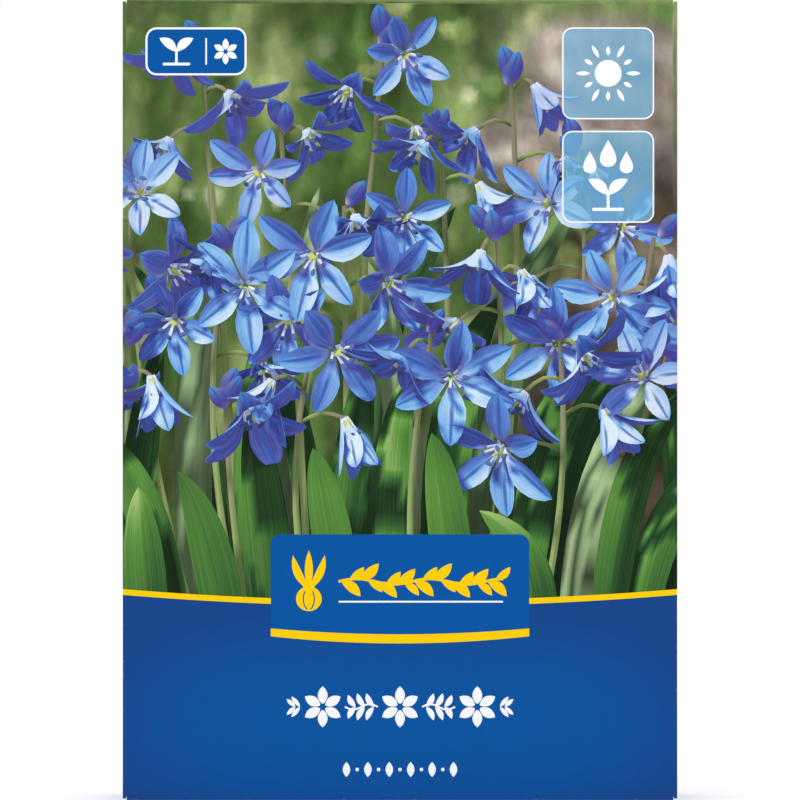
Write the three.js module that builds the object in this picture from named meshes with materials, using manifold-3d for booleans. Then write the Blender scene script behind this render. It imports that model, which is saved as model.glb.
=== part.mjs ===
// A shop packet of flower bulbs: a folding carton of printed paperboard, glued shut at both ends, with
// twenty squill bulbs lying loose inside it. Millimetres, +Z up. The origin is the centre of the base, and
// the printed front faces -Y.
import * as THREE from "three";
import { mergeVertices } from "three/addons/utils/BufferGeometryUtils.js";
import Module from "manifold-3d";

const wasm = await Module();
wasm.setup();

// Driving dimensions of the carton.
const WIDTH = 140;
const DEPTH = 30;
const HEIGHT = 202;
const BOARD = 0.6; // thickness of the paperboard
const CREASE_RADIUS = 0.9; // outside of a fold
const PLY_BITE = 0.05; // how far a glued ply presses into the next one
const PLY = BOARD - PLY_BITE; // height from one glued ply to the next
const CREASE_STEPS = 3; // straight steps round a quarter fold
const CORNER_SLOT = 0.45; // an upright fold stops this far inside the flaps that close over it

// End flaps, the same at the top and the bottom.
const OUTER_FLAP_SETBACK = 0.6; // hinged on the front, its cut edge stops this far short of the back face
const INNER_FLAP_REACH = 27; // hinged on the back
const DUST_FLAP_REACH = 52; // from each side face inwards
const DUST_FLAP_TRIM = 0.5; // the dust flaps are narrower than the side by this much at each edge
const GLUE_FLAP_WIDTH = 13; // inside the back, from the left side face
const SEAM_SETBACK = 0.7; // the cut edge of the back stops this far inside the left side face

// Openings.
const VENT_RADIUS = 3.5;
const VENT_PITCH = 32;
const VENT_ROWS = 5;
const LOWEST_VENT = 37;
const ROUND_SIDES = 24;
const THUMB_NOTCH_RADIUS = 8;

// Bulbs, sold as one grade: 7 to 8 cm round the middle.
const BULB_COUNT = 20;
const BULB_RADII = [11.3, 12.6]; // smallest and largest
const NOSE_LENGTH = 0.24; // how far the nose stands out of the round body, in body radii
const NOSE_SPREAD = 0.23; // radians
const BASE_PLATE_DEPTH = 0.93; // centre to base plate, in body radii
const BULB_SIDES = 14;
const BULB_RINGS = 10;
const COAT_RIDGE = 0.012; // height of the ridges in the papery coat, in body radii
const COAT_RIDGES = 7;
const ROOT_STUBS = 5;
const ROOT_RADIUS = 0.075; // in body radii
const ROOT_RING = 0.2;
const ROOT_TIP = 1.0; // centre to root tip
const MOST_LEAN = 0.1; // radians
const REST_GAP = 0.3; // between a bulb and what it rests on
const ROW_LENGTHS = [5, 4, 5, 4, 2]; // bulbs in each row of the pile, from the floor up
const SEED = 20;

const halfWidth = WIDTH / 2;
const halfDepth = DEPTH / 2;
const innerHalfWidth = halfWidth - BOARD;
const innerHalfDepth = halfDepth - BOARD - PLY; // clears the glue flap inside the back

function solidOf(geometry) {
  const bare = geometry.index ? geometry.toNonIndexed() : geometry.clone();
  bare.deleteAttribute("normal");
  bare.deleteAttribute("uv");
  const merged = mergeVertices(bare, 1e-4);
  return new wasm.Manifold(
    new wasm.Mesh({
      numProp: 3,
      vertProperties: new Float32Array(merged.attributes.position.array),
      triVerts: new Uint32Array(merged.index.array),
    }),
  );
}

function geometryOf(solid) {
  const { vertProperties, triVerts } = solid.getMesh();
  return new THREE.BufferGeometry()
    .setAttribute("position", new THREE.BufferAttribute(vertProperties, 3))
    .setIndex(new THREE.BufferAttribute(triVerts, 1));
}

function join(solids) {
  return solids.reduce((whole, next) => whole.add(next));
}

// A numbers-only random source, the same on every run.
function randomFrom(seed) {
  let state = seed;
  return () => {
    state = (state + 0x6d2b79f5) | 0;
    let t = Math.imul(state ^ (state >>> 15), 1 | state);
    t = (t + Math.imul(t ^ (t >>> 7), 61 | t)) ^ t;
    return ((t ^ (t >>> 14)) >>> 0) / 4294967296;
  };
}

// ---- Carton: one sheet of board, folded ----

// The section of one wall with a flap folded in at each end, as a shape in (inwards, up). The wall's outside
// stands at 0, and its flaps reach inwards. ply counts the plies that lie outside this wall's flaps.
function wallSection(ply, flapReach) {
  const low = ply * PLY;
  const high = HEIGHT - ply * PLY;
  const r = CREASE_RADIUS;
  const inner = r - BOARD;
  const shape = new THREE.Shape();
  shape.moveTo(flapReach, low);
  shape.lineTo(flapReach, low + BOARD);
  shape.lineTo(r, low + BOARD);
  shape.absarc(r, low + r, inner, 1.5 * Math.PI, Math.PI, true);
  shape.lineTo(BOARD, high - r);
  shape.absarc(r, high - r, inner, Math.PI, 0.5 * Math.PI, true);
  shape.lineTo(flapReach, high - BOARD);
  shape.lineTo(flapReach, high);
  shape.lineTo(r, high);
  shape.absarc(r, high - r, r, 0.5 * Math.PI, Math.PI, false);
  shape.lineTo(0, low + r);
  shape.absarc(r, low + r, r, Math.PI, 1.5 * Math.PI, false);
  shape.lineTo(flapReach, low);
  return shape;
}

// Extrudes a wall section and stands it in place. inwards is the horizontal direction into the carton, and
// origin is on the outside of the wall, at its left edge as seen looking inwards from outside it.
function wall({ ply, flapReach, origin, inwards, width }) {
  const geometry = new THREE.ExtrudeGeometry(wallSection(ply, flapReach), {
    depth: width,
    bevelEnabled: false,
    curveSegments: CREASE_STEPS,
  });
  const up = new THREE.Vector3(0, 0, 1);
  const place = new THREE.Matrix4().makeBasis(inwards, up, inwards.clone().cross(up));
  place.setPosition(origin);
  geometry.applyMatrix4(place);
  return solidOf(geometry);
}

// An upright fold at a corner of the carton: a quarter of a tube. It ends where the sheet is slotted between
// two flaps, below the ply that closes over it.
function cornerFold(x, y, startAngle, ply) {
  const endAngle = startAngle + Math.PI / 2;
  const shape = new THREE.Shape();
  shape.absarc(x, y, CREASE_RADIUS, startAngle, endAngle, false);
  shape.absarc(x, y, CREASE_RADIUS - BOARD, endAngle, startAngle, true);
  const slot = ply * PLY + CORNER_SLOT;
  const geometry = new THREE.ExtrudeGeometry(shape, {
    depth: HEIGHT - 2 * slot,
    bevelEnabled: false,
    curveSegments: CREASE_STEPS,
  });
  geometry.translate(0, 0, slot);
  return solidOf(geometry);
}

// The flap that carries the side seam: glued inside the back, beside the left fold.
function glueFlap() {
  const slot = 2 * PLY + CREASE_RADIUS;
  const from = -halfWidth + CREASE_RADIUS;
  const width = GLUE_FLAP_WIDTH - CREASE_RADIUS;
  const geometry = new THREE.BoxGeometry(width, BOARD, HEIGHT - 2 * slot);
  geometry.translate(from + width / 2, halfDepth - PLY - BOARD / 2, HEIGHT / 2);
  return solidOf(geometry);
}

function ventPunches() {
  const punches = [];
  for (let row = 0; row < VENT_ROWS; row += 1) {
    const punch = new THREE.CylinderGeometry(VENT_RADIUS, VENT_RADIUS, WIDTH + 10, ROUND_SIDES);
    punch.rotateZ(Math.PI / 2);
    punch.translate(0, 0, LOWEST_VENT + row * VENT_PITCH);
    punches.push(solidOf(punch));
  }
  return join(punches);
}

// A half-round thumb notch in the cut edge of the outer flap at the top. The inner flap closes it below.
function thumbNotch() {
  const cut = new THREE.CylinderGeometry(THUMB_NOTCH_RADIUS, THUMB_NOTCH_RADIUS, 2, ROUND_SIDES * 2);
  cut.rotateX(Math.PI / 2);
  cut.translate(0, halfDepth - OUTER_FLAP_SETBACK, HEIGHT - PLY + 1);
  return solidOf(cut);
}

function cartonSolid() {
  const r = CREASE_RADIUS;
  const seamFold = halfDepth - PLY - r; // centre of the left fold at the back, one ply in
  const backEdge = -halfWidth + SEAM_SETBACK;
  const walls = [
    wall({
      ply: 0,
      flapReach: DEPTH - OUTER_FLAP_SETBACK,
      origin: new THREE.Vector3(-halfWidth + r, -halfDepth, 0),
      inwards: new THREE.Vector3(0, 1, 0),
      width: WIDTH - 2 * r,
    }),
    wall({
      ply: 1,
      flapReach: INNER_FLAP_REACH,
      origin: new THREE.Vector3(halfWidth - r, halfDepth, 0),
      inwards: new THREE.Vector3(0, -1, 0),
      width: halfWidth - r - backEdge,
    }),
    wall({
      ply: 2,
      flapReach: DUST_FLAP_REACH,
      origin: new THREE.Vector3(-halfWidth, seamFold, 0),
      inwards: new THREE.Vector3(1, 0, 0),
      width: halfDepth - r + seamFold,
    }),
    wall({
      ply: 2,
      flapReach: DUST_FLAP_REACH,
      origin: new THREE.Vector3(halfWidth, -halfDepth + r, 0),
      inwards: new THREE.Vector3(-1, 0, 0),
      width: DEPTH - 2 * r,
    }),
  ];
  const folds = [
    cornerFold(halfWidth - r, -halfDepth + r, 1.5 * Math.PI, 0),
    cornerFold(halfWidth - r, halfDepth - r, 0, 1),
    cornerFold(-halfWidth + r, seamFold, 0.5 * Math.PI, 2),
    cornerFold(-halfWidth + r, -halfDepth + r, Math.PI, 0),
  ];
  return join([...walls, ...folds, glueFlap()]).subtract(ventPunches()).subtract(thumbNotch());
}

// ---- Bulbs ----

// The body's radius in a direction at this angle from the nose, for a body radius of 1.
function bulbReach(angle) {
  const nose = NOSE_LENGTH * Math.exp(-((angle / NOSE_SPREAD) ** 2));
  const fromBase = Math.PI - angle;
  const plate = fromBase < 1 ? BASE_PLATE_DEPTH / Math.cos(fromBase) : Infinity;
  return Math.min(1 + nose, plate);
}

function bulbSolid(radius, turn) {
  const profile = [];
  for (let ring = 0; ring <= BULB_RINGS; ring += 1) {
    // Rings lie closer together towards the nose.
    const angle = Math.PI * (1 - (ring / BULB_RINGS) ** 0.85);
    const reach = bulbReach(angle) * radius;
    const atAxis = ring === 0 || ring === BULB_RINGS;
    profile.push(new THREE.Vector2(atAxis ? 0 : reach * Math.sin(angle), reach * Math.cos(angle)));
  }
  const body = new THREE.LatheGeometry(profile, BULB_SIDES);
  body.rotateX(Math.PI / 2);
  const place = body.attributes.position;
  for (let i = 0; i < place.count; i += 1) {
    const x = place.getX(i);
    const y = place.getY(i);
    const ridge = 1 - COAT_RIDGE * (1 + Math.cos(COAT_RIDGES * Math.atan2(y, x) + turn));
    place.setXY(i, x * ridge, y * ridge);
  }
  const parts = [solidOf(body)];
  for (let stub = 0; stub < ROOT_STUBS; stub += 1) {
    const angle = turn + (stub / ROOT_STUBS) * 2 * Math.PI;
    const length = (ROOT_TIP - BASE_PLATE_DEPTH + 0.2) * radius;
    const root = new THREE.CylinderGeometry(0.5 * ROOT_RADIUS * radius, ROOT_RADIUS * radius, length, 5);
    root.rotateX(-Math.PI / 2);
    root.translate(
      ROOT_RING * radius * Math.cos(angle),
      ROOT_RING * radius * Math.sin(angle),
      -ROOT_TIP * radius + length / 2,
    );
    parts.push(solidOf(root));
  }
  return join(parts);
}

// The floor under a point of the pile: the inner flap in the middle, the dust flaps beside it.
function floorUnder(x) {
  return (Math.abs(x) > halfWidth - DUST_FLAP_REACH ? 3 : 2) * PLY + PLY_BITE;
}

// How far apart two touching bulbs' centres lie, seen from the front.
function apart(a, b) {
  return Math.sqrt((a.radius + b.radius + REST_GAP) ** 2 - (a.y - b.y) ** 2);
}

// Where a bulb rests in the saddle between two others, seen from the front.
function restInSaddle(bulb, left, right) {
  const dx = right.x - left.x;
  const dz = right.z - left.z;
  const span = Math.hypot(dx, dz);
  const toLeft = apart(bulb, left);
  const toRight = apart(bulb, right);
  const share = (toLeft ** 2 - toRight ** 2 + span ** 2) / (2 * span);
  const rise = Math.sqrt(toLeft ** 2 - share ** 2);
  bulb.x = left.x + (share * dx - rise * dz) / span;
  bulb.z = left.z + (share * dz + rise * dx) / span;
}

// Where a bulb rests between a side wall and the bulb beside it in the row below. side is -1 or 1.
function restAtWall(bulb, below, side) {
  bulb.x = side * (innerHalfWidth - bulb.radius - REST_GAP);
  bulb.z = below.z + Math.sqrt(apart(bulb, below) ** 2 - (bulb.x - below.x) ** 2);
}

// The pile, row by row: each bulb leans on the front or the back wall by turns and rests on those below.
function pileOfBulbs() {
  const random = randomFrom(SEED);
  const rows = [];
  ROW_LENGTHS.forEach((length, level) => {
    const below = rows[level - 1];
    const row = Array.from({ length }, (_, i) => {
      const radius = BULB_RADII[0] + (BULB_RADII[1] - BULB_RADII[0]) * random();
      const wallSide = (i + level) % 2 ? 1 : -1;
      return {
        radius,
        y: wallSide * (innerHalfDepth - radius - REST_GAP),
        turn: random() * 2 * Math.PI,
        noseDown: level > 0 && random() < 0.4,
        lean: MOST_LEAN * random(),
        leanWay: random() * 2 * Math.PI,
      };
    });
    row.forEach((bulb, i) => {
      if (level === 0) {
        const reach = innerHalfWidth - bulb.radius - REST_GAP;
        bulb.x = reach * ((2 * i) / (length - 1) - 1);
        bulb.z = floorUnder(bulb.x) + bulb.radius + REST_GAP;
      } else if (length > below.length && i === 0) {
        restAtWall(bulb, below[0], -1);
      } else if (length > below.length && i === length - 1) {
        restAtWall(bulb, below[below.length - 1], 1);
      } else {
        const first = length > below.length ? i - 1 : i * (length < 4 ? 2 : 1);
        restInSaddle(bulb, below[first], below[first + 1]);
      }
    });
    rows.push(row);
  });
  return rows.flat();
}

// ---- The object ----

const packet = new THREE.Group();
packet.name = "bulb_packet";

const printedBoard = new THREE.MeshStandardMaterial({ color: 0x0b569f, roughness: 0.42, metalness: 0 });
const bulbCoat = new THREE.MeshStandardMaterial({ color: 0x6d3f3b, roughness: 0.6, metalness: 0 });

const carton = new THREE.Mesh(geometryOf(cartonSolid()), printedBoard);
carton.name = "carton";
packet.add(carton);

pileOfBulbs()
  .slice(0, BULB_COUNT)
  .forEach((bulb, i) => {
    const mesh = new THREE.Mesh(geometryOf(bulbSolid(bulb.radius, bulb.turn)), bulbCoat);
    mesh.name = `bulb_${String(i + 1).padStart(2, "0")}`;
    mesh.position.set(bulb.x, bulb.y, bulb.z);
    const axis = new THREE.Vector3(Math.cos(bulb.leanWay), Math.sin(bulb.leanWay), 0);
    mesh.setRotationFromAxisAngle(axis, bulb.lean);
    if (bulb.noseDown) mesh.rotateX(Math.PI);
    packet.add(mesh);
  });

export default packet;
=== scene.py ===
"""Looks of a packet of squill bulbs: one printed sheet of board, folded and glued, with the bulbs inside.

The sheet is laid out flat, in millimetres: s runs round the packet to the right as seen from outside, with
0 at the middle of the front, and t runs up, with 0 at the base. The print is made on the flat sheet, as on
a press, and the sheet is then folded round its creases into the frame's metres.
"""

import logging
import random
from dataclasses import dataclass
from enum import Enum
from math import atan2, copysign, cos, exp, hypot, pi, sin, sqrt, tau
from typing import NamedTuple

import bmesh
import bpy
import numpy as np
from mathutils import Matrix, Vector
from mathutils.bvhtree import BVHTree
from mathutils.geometry import delaunay_2d_cdt


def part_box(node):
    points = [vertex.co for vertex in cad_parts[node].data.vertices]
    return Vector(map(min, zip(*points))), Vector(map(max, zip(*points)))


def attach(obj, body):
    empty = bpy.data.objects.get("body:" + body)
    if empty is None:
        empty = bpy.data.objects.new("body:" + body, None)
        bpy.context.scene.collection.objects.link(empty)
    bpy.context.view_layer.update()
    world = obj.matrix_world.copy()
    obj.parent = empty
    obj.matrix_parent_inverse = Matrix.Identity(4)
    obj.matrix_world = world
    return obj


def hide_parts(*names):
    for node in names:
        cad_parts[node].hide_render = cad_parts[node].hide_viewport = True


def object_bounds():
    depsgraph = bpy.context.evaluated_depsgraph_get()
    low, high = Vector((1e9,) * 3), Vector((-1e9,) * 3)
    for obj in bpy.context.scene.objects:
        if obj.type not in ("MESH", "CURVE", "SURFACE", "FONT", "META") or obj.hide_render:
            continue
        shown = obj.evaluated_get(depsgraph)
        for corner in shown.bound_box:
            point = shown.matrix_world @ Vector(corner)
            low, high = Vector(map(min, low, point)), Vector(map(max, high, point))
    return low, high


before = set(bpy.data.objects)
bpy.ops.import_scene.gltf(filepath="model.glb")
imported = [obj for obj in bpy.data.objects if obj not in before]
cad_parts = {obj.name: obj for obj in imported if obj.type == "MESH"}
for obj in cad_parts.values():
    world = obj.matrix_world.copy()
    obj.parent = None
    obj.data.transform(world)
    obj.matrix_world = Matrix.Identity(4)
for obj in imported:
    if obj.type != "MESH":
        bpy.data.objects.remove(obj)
CAD_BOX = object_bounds()

LOG = logging.getLogger("bulb_packet")
MM = 0.001  # metres

Point = tuple[float, float]
Shape = list[Point]  # an outline, going round to the left
Colour = tuple[float, float, float, float]
Socket = bpy.types.NodeSocket
Value = Socket | float | Colour  # what feeds a node: another node's socket, or a constant
Material = bpy.types.Material
Mesh = bpy.types.Mesh
Array = np.ndarray
Edges = list[tuple[int, int]]  # pairs of the numbers of points


def printed(red: int, green: int, blue: int) -> Colour:
    """Returns a printed colour in linear light, from red, green and blue of 0 to 255."""
    linear = [((c / 255 + 0.055) / 1.055) ** 2.4 if c > 10 else c / 255 / 12.92 for c in (red, green, blue)]
    return (linear[0], linear[1], linear[2], 1.0)


class Ink(Enum):
    """What a patch of the sheet shows. The values are the carton's material slots, in order."""

    BARE = 0
    CUT_EDGE = 1
    GARDEN = 2
    PETAL = 3
    LEAF = 4
    STEM = 5
    ANTHER = 6
    FILAMENT = 7
    PISTIL = 8
    PANEL_BLUE = 9
    LABEL_BLUE = 10
    YELLOW = 11
    WHITE = 12
    PALE_SKY = 13
    SOIL = 14
    SPROUT_GREEN = 15
    TAN = 16


# ---- Shaders ----


class Graph:
    """A short way to wire up the nodes of a material or a world."""

    def __init__(self, owner: Material | bpy.types.World) -> None:
        """Clears the owner's nodes.

        Args:
            owner: The material or the world.
        """
        owner.use_nodes = True
        self.owner = owner
        self.tree = owner.node_tree
        self.tree.nodes.clear()

    @classmethod
    def named(cls, name: str) -> "Graph":
        """Starts a new material."""
        return cls(bpy.data.materials.new(name))

    def add(self, kind: str, inputs: dict | None = None, **settings: object) -> bpy.types.Node:
        """Adds a node.

        Args:
            kind: Its type, without the leading ShaderNode.
            inputs: What feeds its inputs, by name or number.
            **settings: Its own properties.

        Returns:
            The node.
        """
        node = self.tree.nodes.new("ShaderNode" + kind)
        for key, value in settings.items():
            setattr(node, key, value)
        for key, value in (inputs or {}).items():
            if isinstance(value, Socket):
                self.tree.links.new(value, node.inputs[key])
            else:
                node.inputs[key].default_value = value
        return node

    def math(self, operation: str, *values: Value, clamp: bool = False) -> Socket:
        """Returns the result of a math node."""
        return self.add("Math", dict(enumerate(values)), operation=operation, use_clamp=clamp).outputs[0]

    def mix(self, share: Value, first: Value, second: Value, blend: str = "MIX") -> Socket:
        """Returns the colour that lies the given share of the way from first to second."""
        inputs = {0: share, 6: first, 7: second}
        return self.add("Mix", inputs, data_type="RGBA", blend_type=blend).outputs[2]

    def smooth(self, value: Value, low: float, high: float, top: float = 1.0) -> Socket:
        """Returns a smooth ramp of value, from 0 at low to top at high."""
        inputs = {"Value": value, "From Min": low, "From Max": high, "To Max": top}
        return self.add("MapRange", inputs, interpolation_type="SMOOTHSTEP").outputs[0]

    def place(self) -> Socket:
        """Returns the Object coordinates."""
        return self.add("TexCoord").outputs["Object"]

    def held(self, attribute: str) -> Socket:
        """Returns the coordinates that an attribute of the piece holds."""
        return self.add("Attribute", attribute_name=attribute).outputs["Vector"]

    def split(self, vector: Value) -> list[Socket]:
        """Returns a vector's three parts."""
        return list(self.add("SeparateXYZ", {0: vector}).outputs)

    def stretched(self, vector: Value, scale: tuple[float, float, float]) -> Socket:
        """Returns a vector scaled along each axis."""
        return self.add("Mapping", {"Vector": vector, "Scale": scale}).outputs[0]

    def noise(self, vector: Value, scale: float, detail: float = 2.0, rough: float = 0.5) -> Socket:
        """Returns a noise texture, around 0.5."""
        inputs = {"Vector": vector, "Scale": scale, "Detail": detail, "Roughness": rough}
        return self.add("TexNoise", inputs).outputs[0]

    def sway(self, noise: Value, middle: float, reach: float) -> Socket:
        """Returns a value that wanders about middle, by reach in all, as the noise does."""
        return self.math("MULTIPLY_ADD", noise, reach, middle - reach / 2)

    def ramp(self, value: Value, stops: tuple[tuple[float, Colour], ...]) -> Socket:
        """Looks a colour up on a ramp.

        Args:
            value: The place on the ramp.
            stops: Place and colour of each stop, in order.

        Returns:
            The colour.
        """
        node = self.add("ValToRGB", {0: value})
        elements = node.color_ramp.elements
        while len(elements) < len(stops):
            elements.new(0.5)
        for element, (place, colour) in zip(elements, stops):
            element.position = place
            element.color = colour
        return node.outputs[0]

    def finish(self, colour: Value, rough: Value, lustre: float, height: Value, depth: float,
               more: dict | None = None) -> Material:
        """Ends the material in a Principled shader.

        Args:
            colour: The base colour.
            rough: The roughness.
            lustre: The specular level.
            height: The relief.
            depth: How deep it is, in metres.
            more: What feeds its other inputs, by name.

        Returns:
            The material.
        """
        bump = self.add("Bump", {"Strength": 1.0, "Distance": depth, "Height": height}).outputs[0]
        inputs = {"Base Color": colour, "Roughness": rough, "Specular IOR Level": lustre, "Normal": bump}
        shader = self.add("BsdfPrincipled", inputs | (more or {}))
        self.add("OutputMaterial", {0: shader.outputs[0]})
        return self.owner


@dataclass(frozen=True)
class Varnish:
    """The varnished face of the board, over any ink. Scales are per metre."""

    rough: float = 0.42
    rough_reach: float = 0.1  # how far that wanders, in all
    lustre: float = 0.06
    cloud: float = 260.0  # scale of the ink's uneven density
    mottle: float = 0.03  # how far it wanders
    fibre: float = 1400.0  # scale of the board's fibre
    fibre_depth: float = 0.000012
    speck: float = 700.0  # scale of the specks of wear
    speck_range: Point = (0.6, 0.74)  # noise where a speck starts, and where it is full
    speck_loss: float = 0.4  # share of the ink that a full speck has lost
    worn: Colour = printed(222, 219, 210)  # the bared board
    worn_from: float = 0.0007  # metres from an edge where the wear starts
    worn_full: float = 0.0001  # and where it is full

    def coat(self, graph: Graph, colour: Value) -> Material:
        """Lays the ink and the varnish.

        Args:
            graph: The material's graph.
            colour: The ink's colour.

        Returns:
            The finished material.
        """
        place = graph.place()
        density = graph.sway(graph.noise(place, self.cloud, 3), 1.0, 2 * self.mottle)
        grey = graph.add("CombineColor", {0: density, 1: density, 2: density}).outputs[0]
        colour = graph.mix(1.0, colour, grey, "MULTIPLY")
        colour = graph.mix(self.wear(graph, place), colour, self.worn)
        fibre = graph.noise(place, self.fibre)
        rough = graph.sway(fibre, self.rough, self.rough_reach)
        return graph.finish(colour, rough, self.lustre, fibre, self.fibre_depth)

    def wear(self, graph: Graph, place: Value) -> Socket:
        """Finds how much ink has cracked off, in specks along the packet's edges.

        Args:
            graph: The material's graph.
            place: The Object coordinates.

        Returns:
            The share of the ink that is gone.
        """
        near = []
        for low, high, part in zip(*CAD_BOX, graph.split(place)):
            off = graph.math("ABSOLUTE", graph.math("SUBTRACT", part, (low + high) / 2))
            half = (high - low) / 2
            near.append(graph.smooth(off, half - self.worn_from, half - self.worn_full))
        x, y, z = near
        pairs = [graph.math("MULTIPLY", *pair) for pair in ((x, y), (y, z), (x, z))]
        edge = graph.math("MAXIMUM", graph.math("MAXIMUM", *pairs[:2]), pairs[2])
        specks = graph.smooth(graph.noise(place, self.speck, 4, 0.7), *self.speck_range, self.speck_loss)
        return graph.math("MULTIPLY", edge, specks)


VARNISH = Varnish()


@dataclass(frozen=True)
class FlatInk:
    """One solid printing ink."""

    name: str
    colour: Colour

    def material(self) -> Material:
        """Returns the finished material."""
        return VARNISH.coat(Graph.named(self.name), self.colour)


@dataclass(frozen=True)
class GlowInk:
    """The lower panel's deep blue, with a lighter glow."""

    middle: Colour = printed(2, 84, 158)
    rim: Colour = printed(21, 68, 136)
    height: float = 0.019  # of the glow's centre, in metres
    spread: Point = (0.075, 0.029)  # its half width and half height

    def material(self) -> Material:
        """Mixes the ink.

        Returns:
            Its finished material.
        """
        graph = Graph.named("ink_panel_blue")
        x, _, z = graph.split(graph.place())
        aside = graph.math("DIVIDE", x, self.spread[0])
        up = graph.math("DIVIDE", graph.math("SUBTRACT", z, self.height), self.spread[1])
        aside, up = (graph.math("MULTIPLY", part, part) for part in (aside, up))
        far = graph.math("MULTIPLY_ADD", aside, aside, up, clamp=True)
        return VARNISH.coat(graph, graph.mix(far, self.middle, self.rim))


class PictureGraph(Graph):
    """A graph that reads the picture's marks.

    The colour attribute holds light, hue, seed and veil, and the map the place across and along a part.
    """

    def __init__(self, name: str) -> None:
        """Starts a new material and reads the marks.

        Args:
            name: The material's name.
        """
        super().__init__(bpy.data.materials.new(name))
        self.tone, self.veil = self.add("VertexColor", layer_name="tone").outputs
        marks = [*self.add("SeparateColor", {0: self.tone}).outputs]
        marks += self.split(self.add("UVMap", uv_map="print").outputs[0])[:2]
        self.marks = dict(zip(("light", "hue", "seed", "across", "along"), marks))
        self.marks["aside"] = self.math("ABSOLUTE", self.marks["across"])


@dataclass(frozen=True)
class PictureInk:
    """An ink of the picture, with the care labels' blue veil over it."""

    name: str
    veil: Colour = printed(116, 182, 218)
    veil_strength: float = 0.66

    def material(self) -> Material:
        """Mixes the ink, and lays the veil over it.

        Returns:
            Its finished material.
        """
        graph = PictureGraph(self.name)
        share = graph.math("MULTIPLY", graph.veil, self.veil_strength)
        return VARNISH.coat(graph, graph.mix(share, self.paint(graph), self.veil))

    def paint(self, graph: PictureGraph) -> Socket:
        """Returns the ink's colour under the veil."""
        return graph.tone


@dataclass(frozen=True)
class GardenInk(PictureInk):
    """The blurred garden behind the flowers."""

    blotch: float = 190.0  # scale of the blotches, per metre
    contrast: float = 0.7  # how strong they are
    shades: tuple[tuple[float, Colour], ...] = (
        (0.3, (0.62, 0.62, 0.62, 1)),
        (0.5, (1, 1, 1, 1)),
        (0.72, (1.5, 1.5, 1.45, 1)),
    )

    def paint(self, graph: PictureGraph) -> Socket:
        """Breaks the garden's colour up in blotches.

        Args:
            graph: The material's graph.

        Returns:
            The colour.
        """
        blotch = graph.noise(graph.stretched(graph.place(), (1, 1, 0.6)), self.blotch, 4, 0.6)
        shaded = graph.mix(1.0, graph.tone, graph.ramp(blotch, self.shades), "MULTIPLY")
        return graph.mix(self.contrast, graph.tone, shaded)


class Tint(NamedTuple):
    """A colour over a part of a petal, leaf or stem."""

    colour: Colour
    share: float  # how well it covers
    ramps: tuple[tuple[str, float, float], ...]  # marks, and their values where it starts and is full


@dataclass(frozen=True)
class PlantInk(PictureInk):
    """An ink of the flowers and leaves, shaded in fine lines, with tints over it."""

    lines: tuple[float, float, float] = (4.0, 6.0, 0.25)  # how many across, changes along, and depth
    stops: tuple[tuple[float, Colour], ...] = ()  # from shade to light
    tints: tuple[Tint, ...] = ()

    @classmethod
    def round(cls, name: str, dark: Colour, lit: Colour, *tints: Tint) -> "PlantInk":
        """Mixes the ink of a small round part, from its shade and its light."""
        return cls(name, stops=((0.0, dark), (0.65, lit)), tints=tints)

    def paint(self, graph: PictureGraph) -> Socket:
        """Paints the part.

        Args:
            graph: The material's graph.

        Returns:
            The colour.
        """
        across, along, depth = self.lines
        spots = enumerate((("across", across), ("along", along), ("seed", 40.0)))
        spot = {i: graph.math("MULTIPLY", graph.marks[mark], scale) for i, (mark, scale) in spots}
        lines = graph.noise(graph.add("CombineXYZ", spot).outputs[0], 1.0)
        light = graph.math("ADD", graph.marks["light"], graph.sway(lines, 0.0, depth))
        colour = graph.ramp(light, self.stops)
        for tint in self.tints:
            share = tint.share
            for mark, start, full in tint.ramps:
                share = graph.math("MULTIPLY", share, graph.smooth(graph.marks[mark], start, full))
            colour = graph.mix(share, colour, tint.colour)
        return colour


@dataclass(frozen=True)
class Grain:
    """A dull material of two colours, in a fine grain that is also its relief; the dark colour in its
    hollows is partly grain colour and partly painted shade.
    """

    name: str
    dark: Colour  # in the hollows: partly grain colour, partly painted shade
    lit: Colour
    scale: float  # of the grain
    start: float  # grain up to which it is dark
    full: float  # and from which it is lit
    depth: float  # of the relief, in metres
    attribute: str = ""  # that holds its coordinates, or none for the Object's

    def material(self) -> Material:
        """Mixes the two colours.

        Returns:
            The finished material.
        """
        graph = Graph.named(self.name)
        place = graph.held(self.attribute) if self.attribute else graph.place()
        grain = graph.noise(place, self.scale, 4, 0.65)
        # The hollows of the grain take the dark colour: partly grain colour, partly painted shade.
        colour = graph.mix(graph.smooth(grain, self.start, self.full), self.dark, self.lit)
        return graph.finish(colour, 0.88, 0.2, grain, self.depth)


@dataclass(frozen=True)
class BulbCoat:
    """The bulb's dry coat: ribbed purple-brown paper, split in places over the pale bulb; darker between the
    ribs, partly its own colour and partly painted shade in the grooves.
    """

    dark: Colour = printed(74, 40, 42)  # between the ribs: partly the coat's colour, partly painted shade in the grooves
    lit: Colour = printed(158, 104, 88)
    flesh: Colour = printed(226, 212, 188)  # the bulb, where the coat has split
    relief: float = 0.00025  # in metres

    def material(self) -> Material:
        """Mixes the coat.

        Returns:
            Its finished material.
        """
        graph = Graph.named("bulb_coat")
        spot = graph.held("coat")
        rib = graph.noise(graph.stretched(spot, (9, 9, 0.9)), 1.6, 4, 0.6)
        # Dark in the grooves between the ribs, where the relief is low: partly the coat's own colour, partly
        # painted shade.
        colour = graph.mix(graph.smooth(rib, 0.32, 0.7), self.dark, self.lit)
        colour = graph.mix(graph.smooth(graph.noise(spot, 2.2, 3), 0.45, 0.75, 0.4), colour, self.lit)
        split = graph.smooth(graph.noise(graph.stretched(spot, (3, 3, 0.8)), 1.3), 0.62, 0.66)
        colour = graph.mix(split, colour, self.flesh)
        height = graph.math("SUBTRACT", rib, graph.math("MULTIPLY", split, 0.4))
        return graph.finish(colour, graph.sway(rib, 0.52, 0.2), 0.4, height, self.relief)


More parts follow.
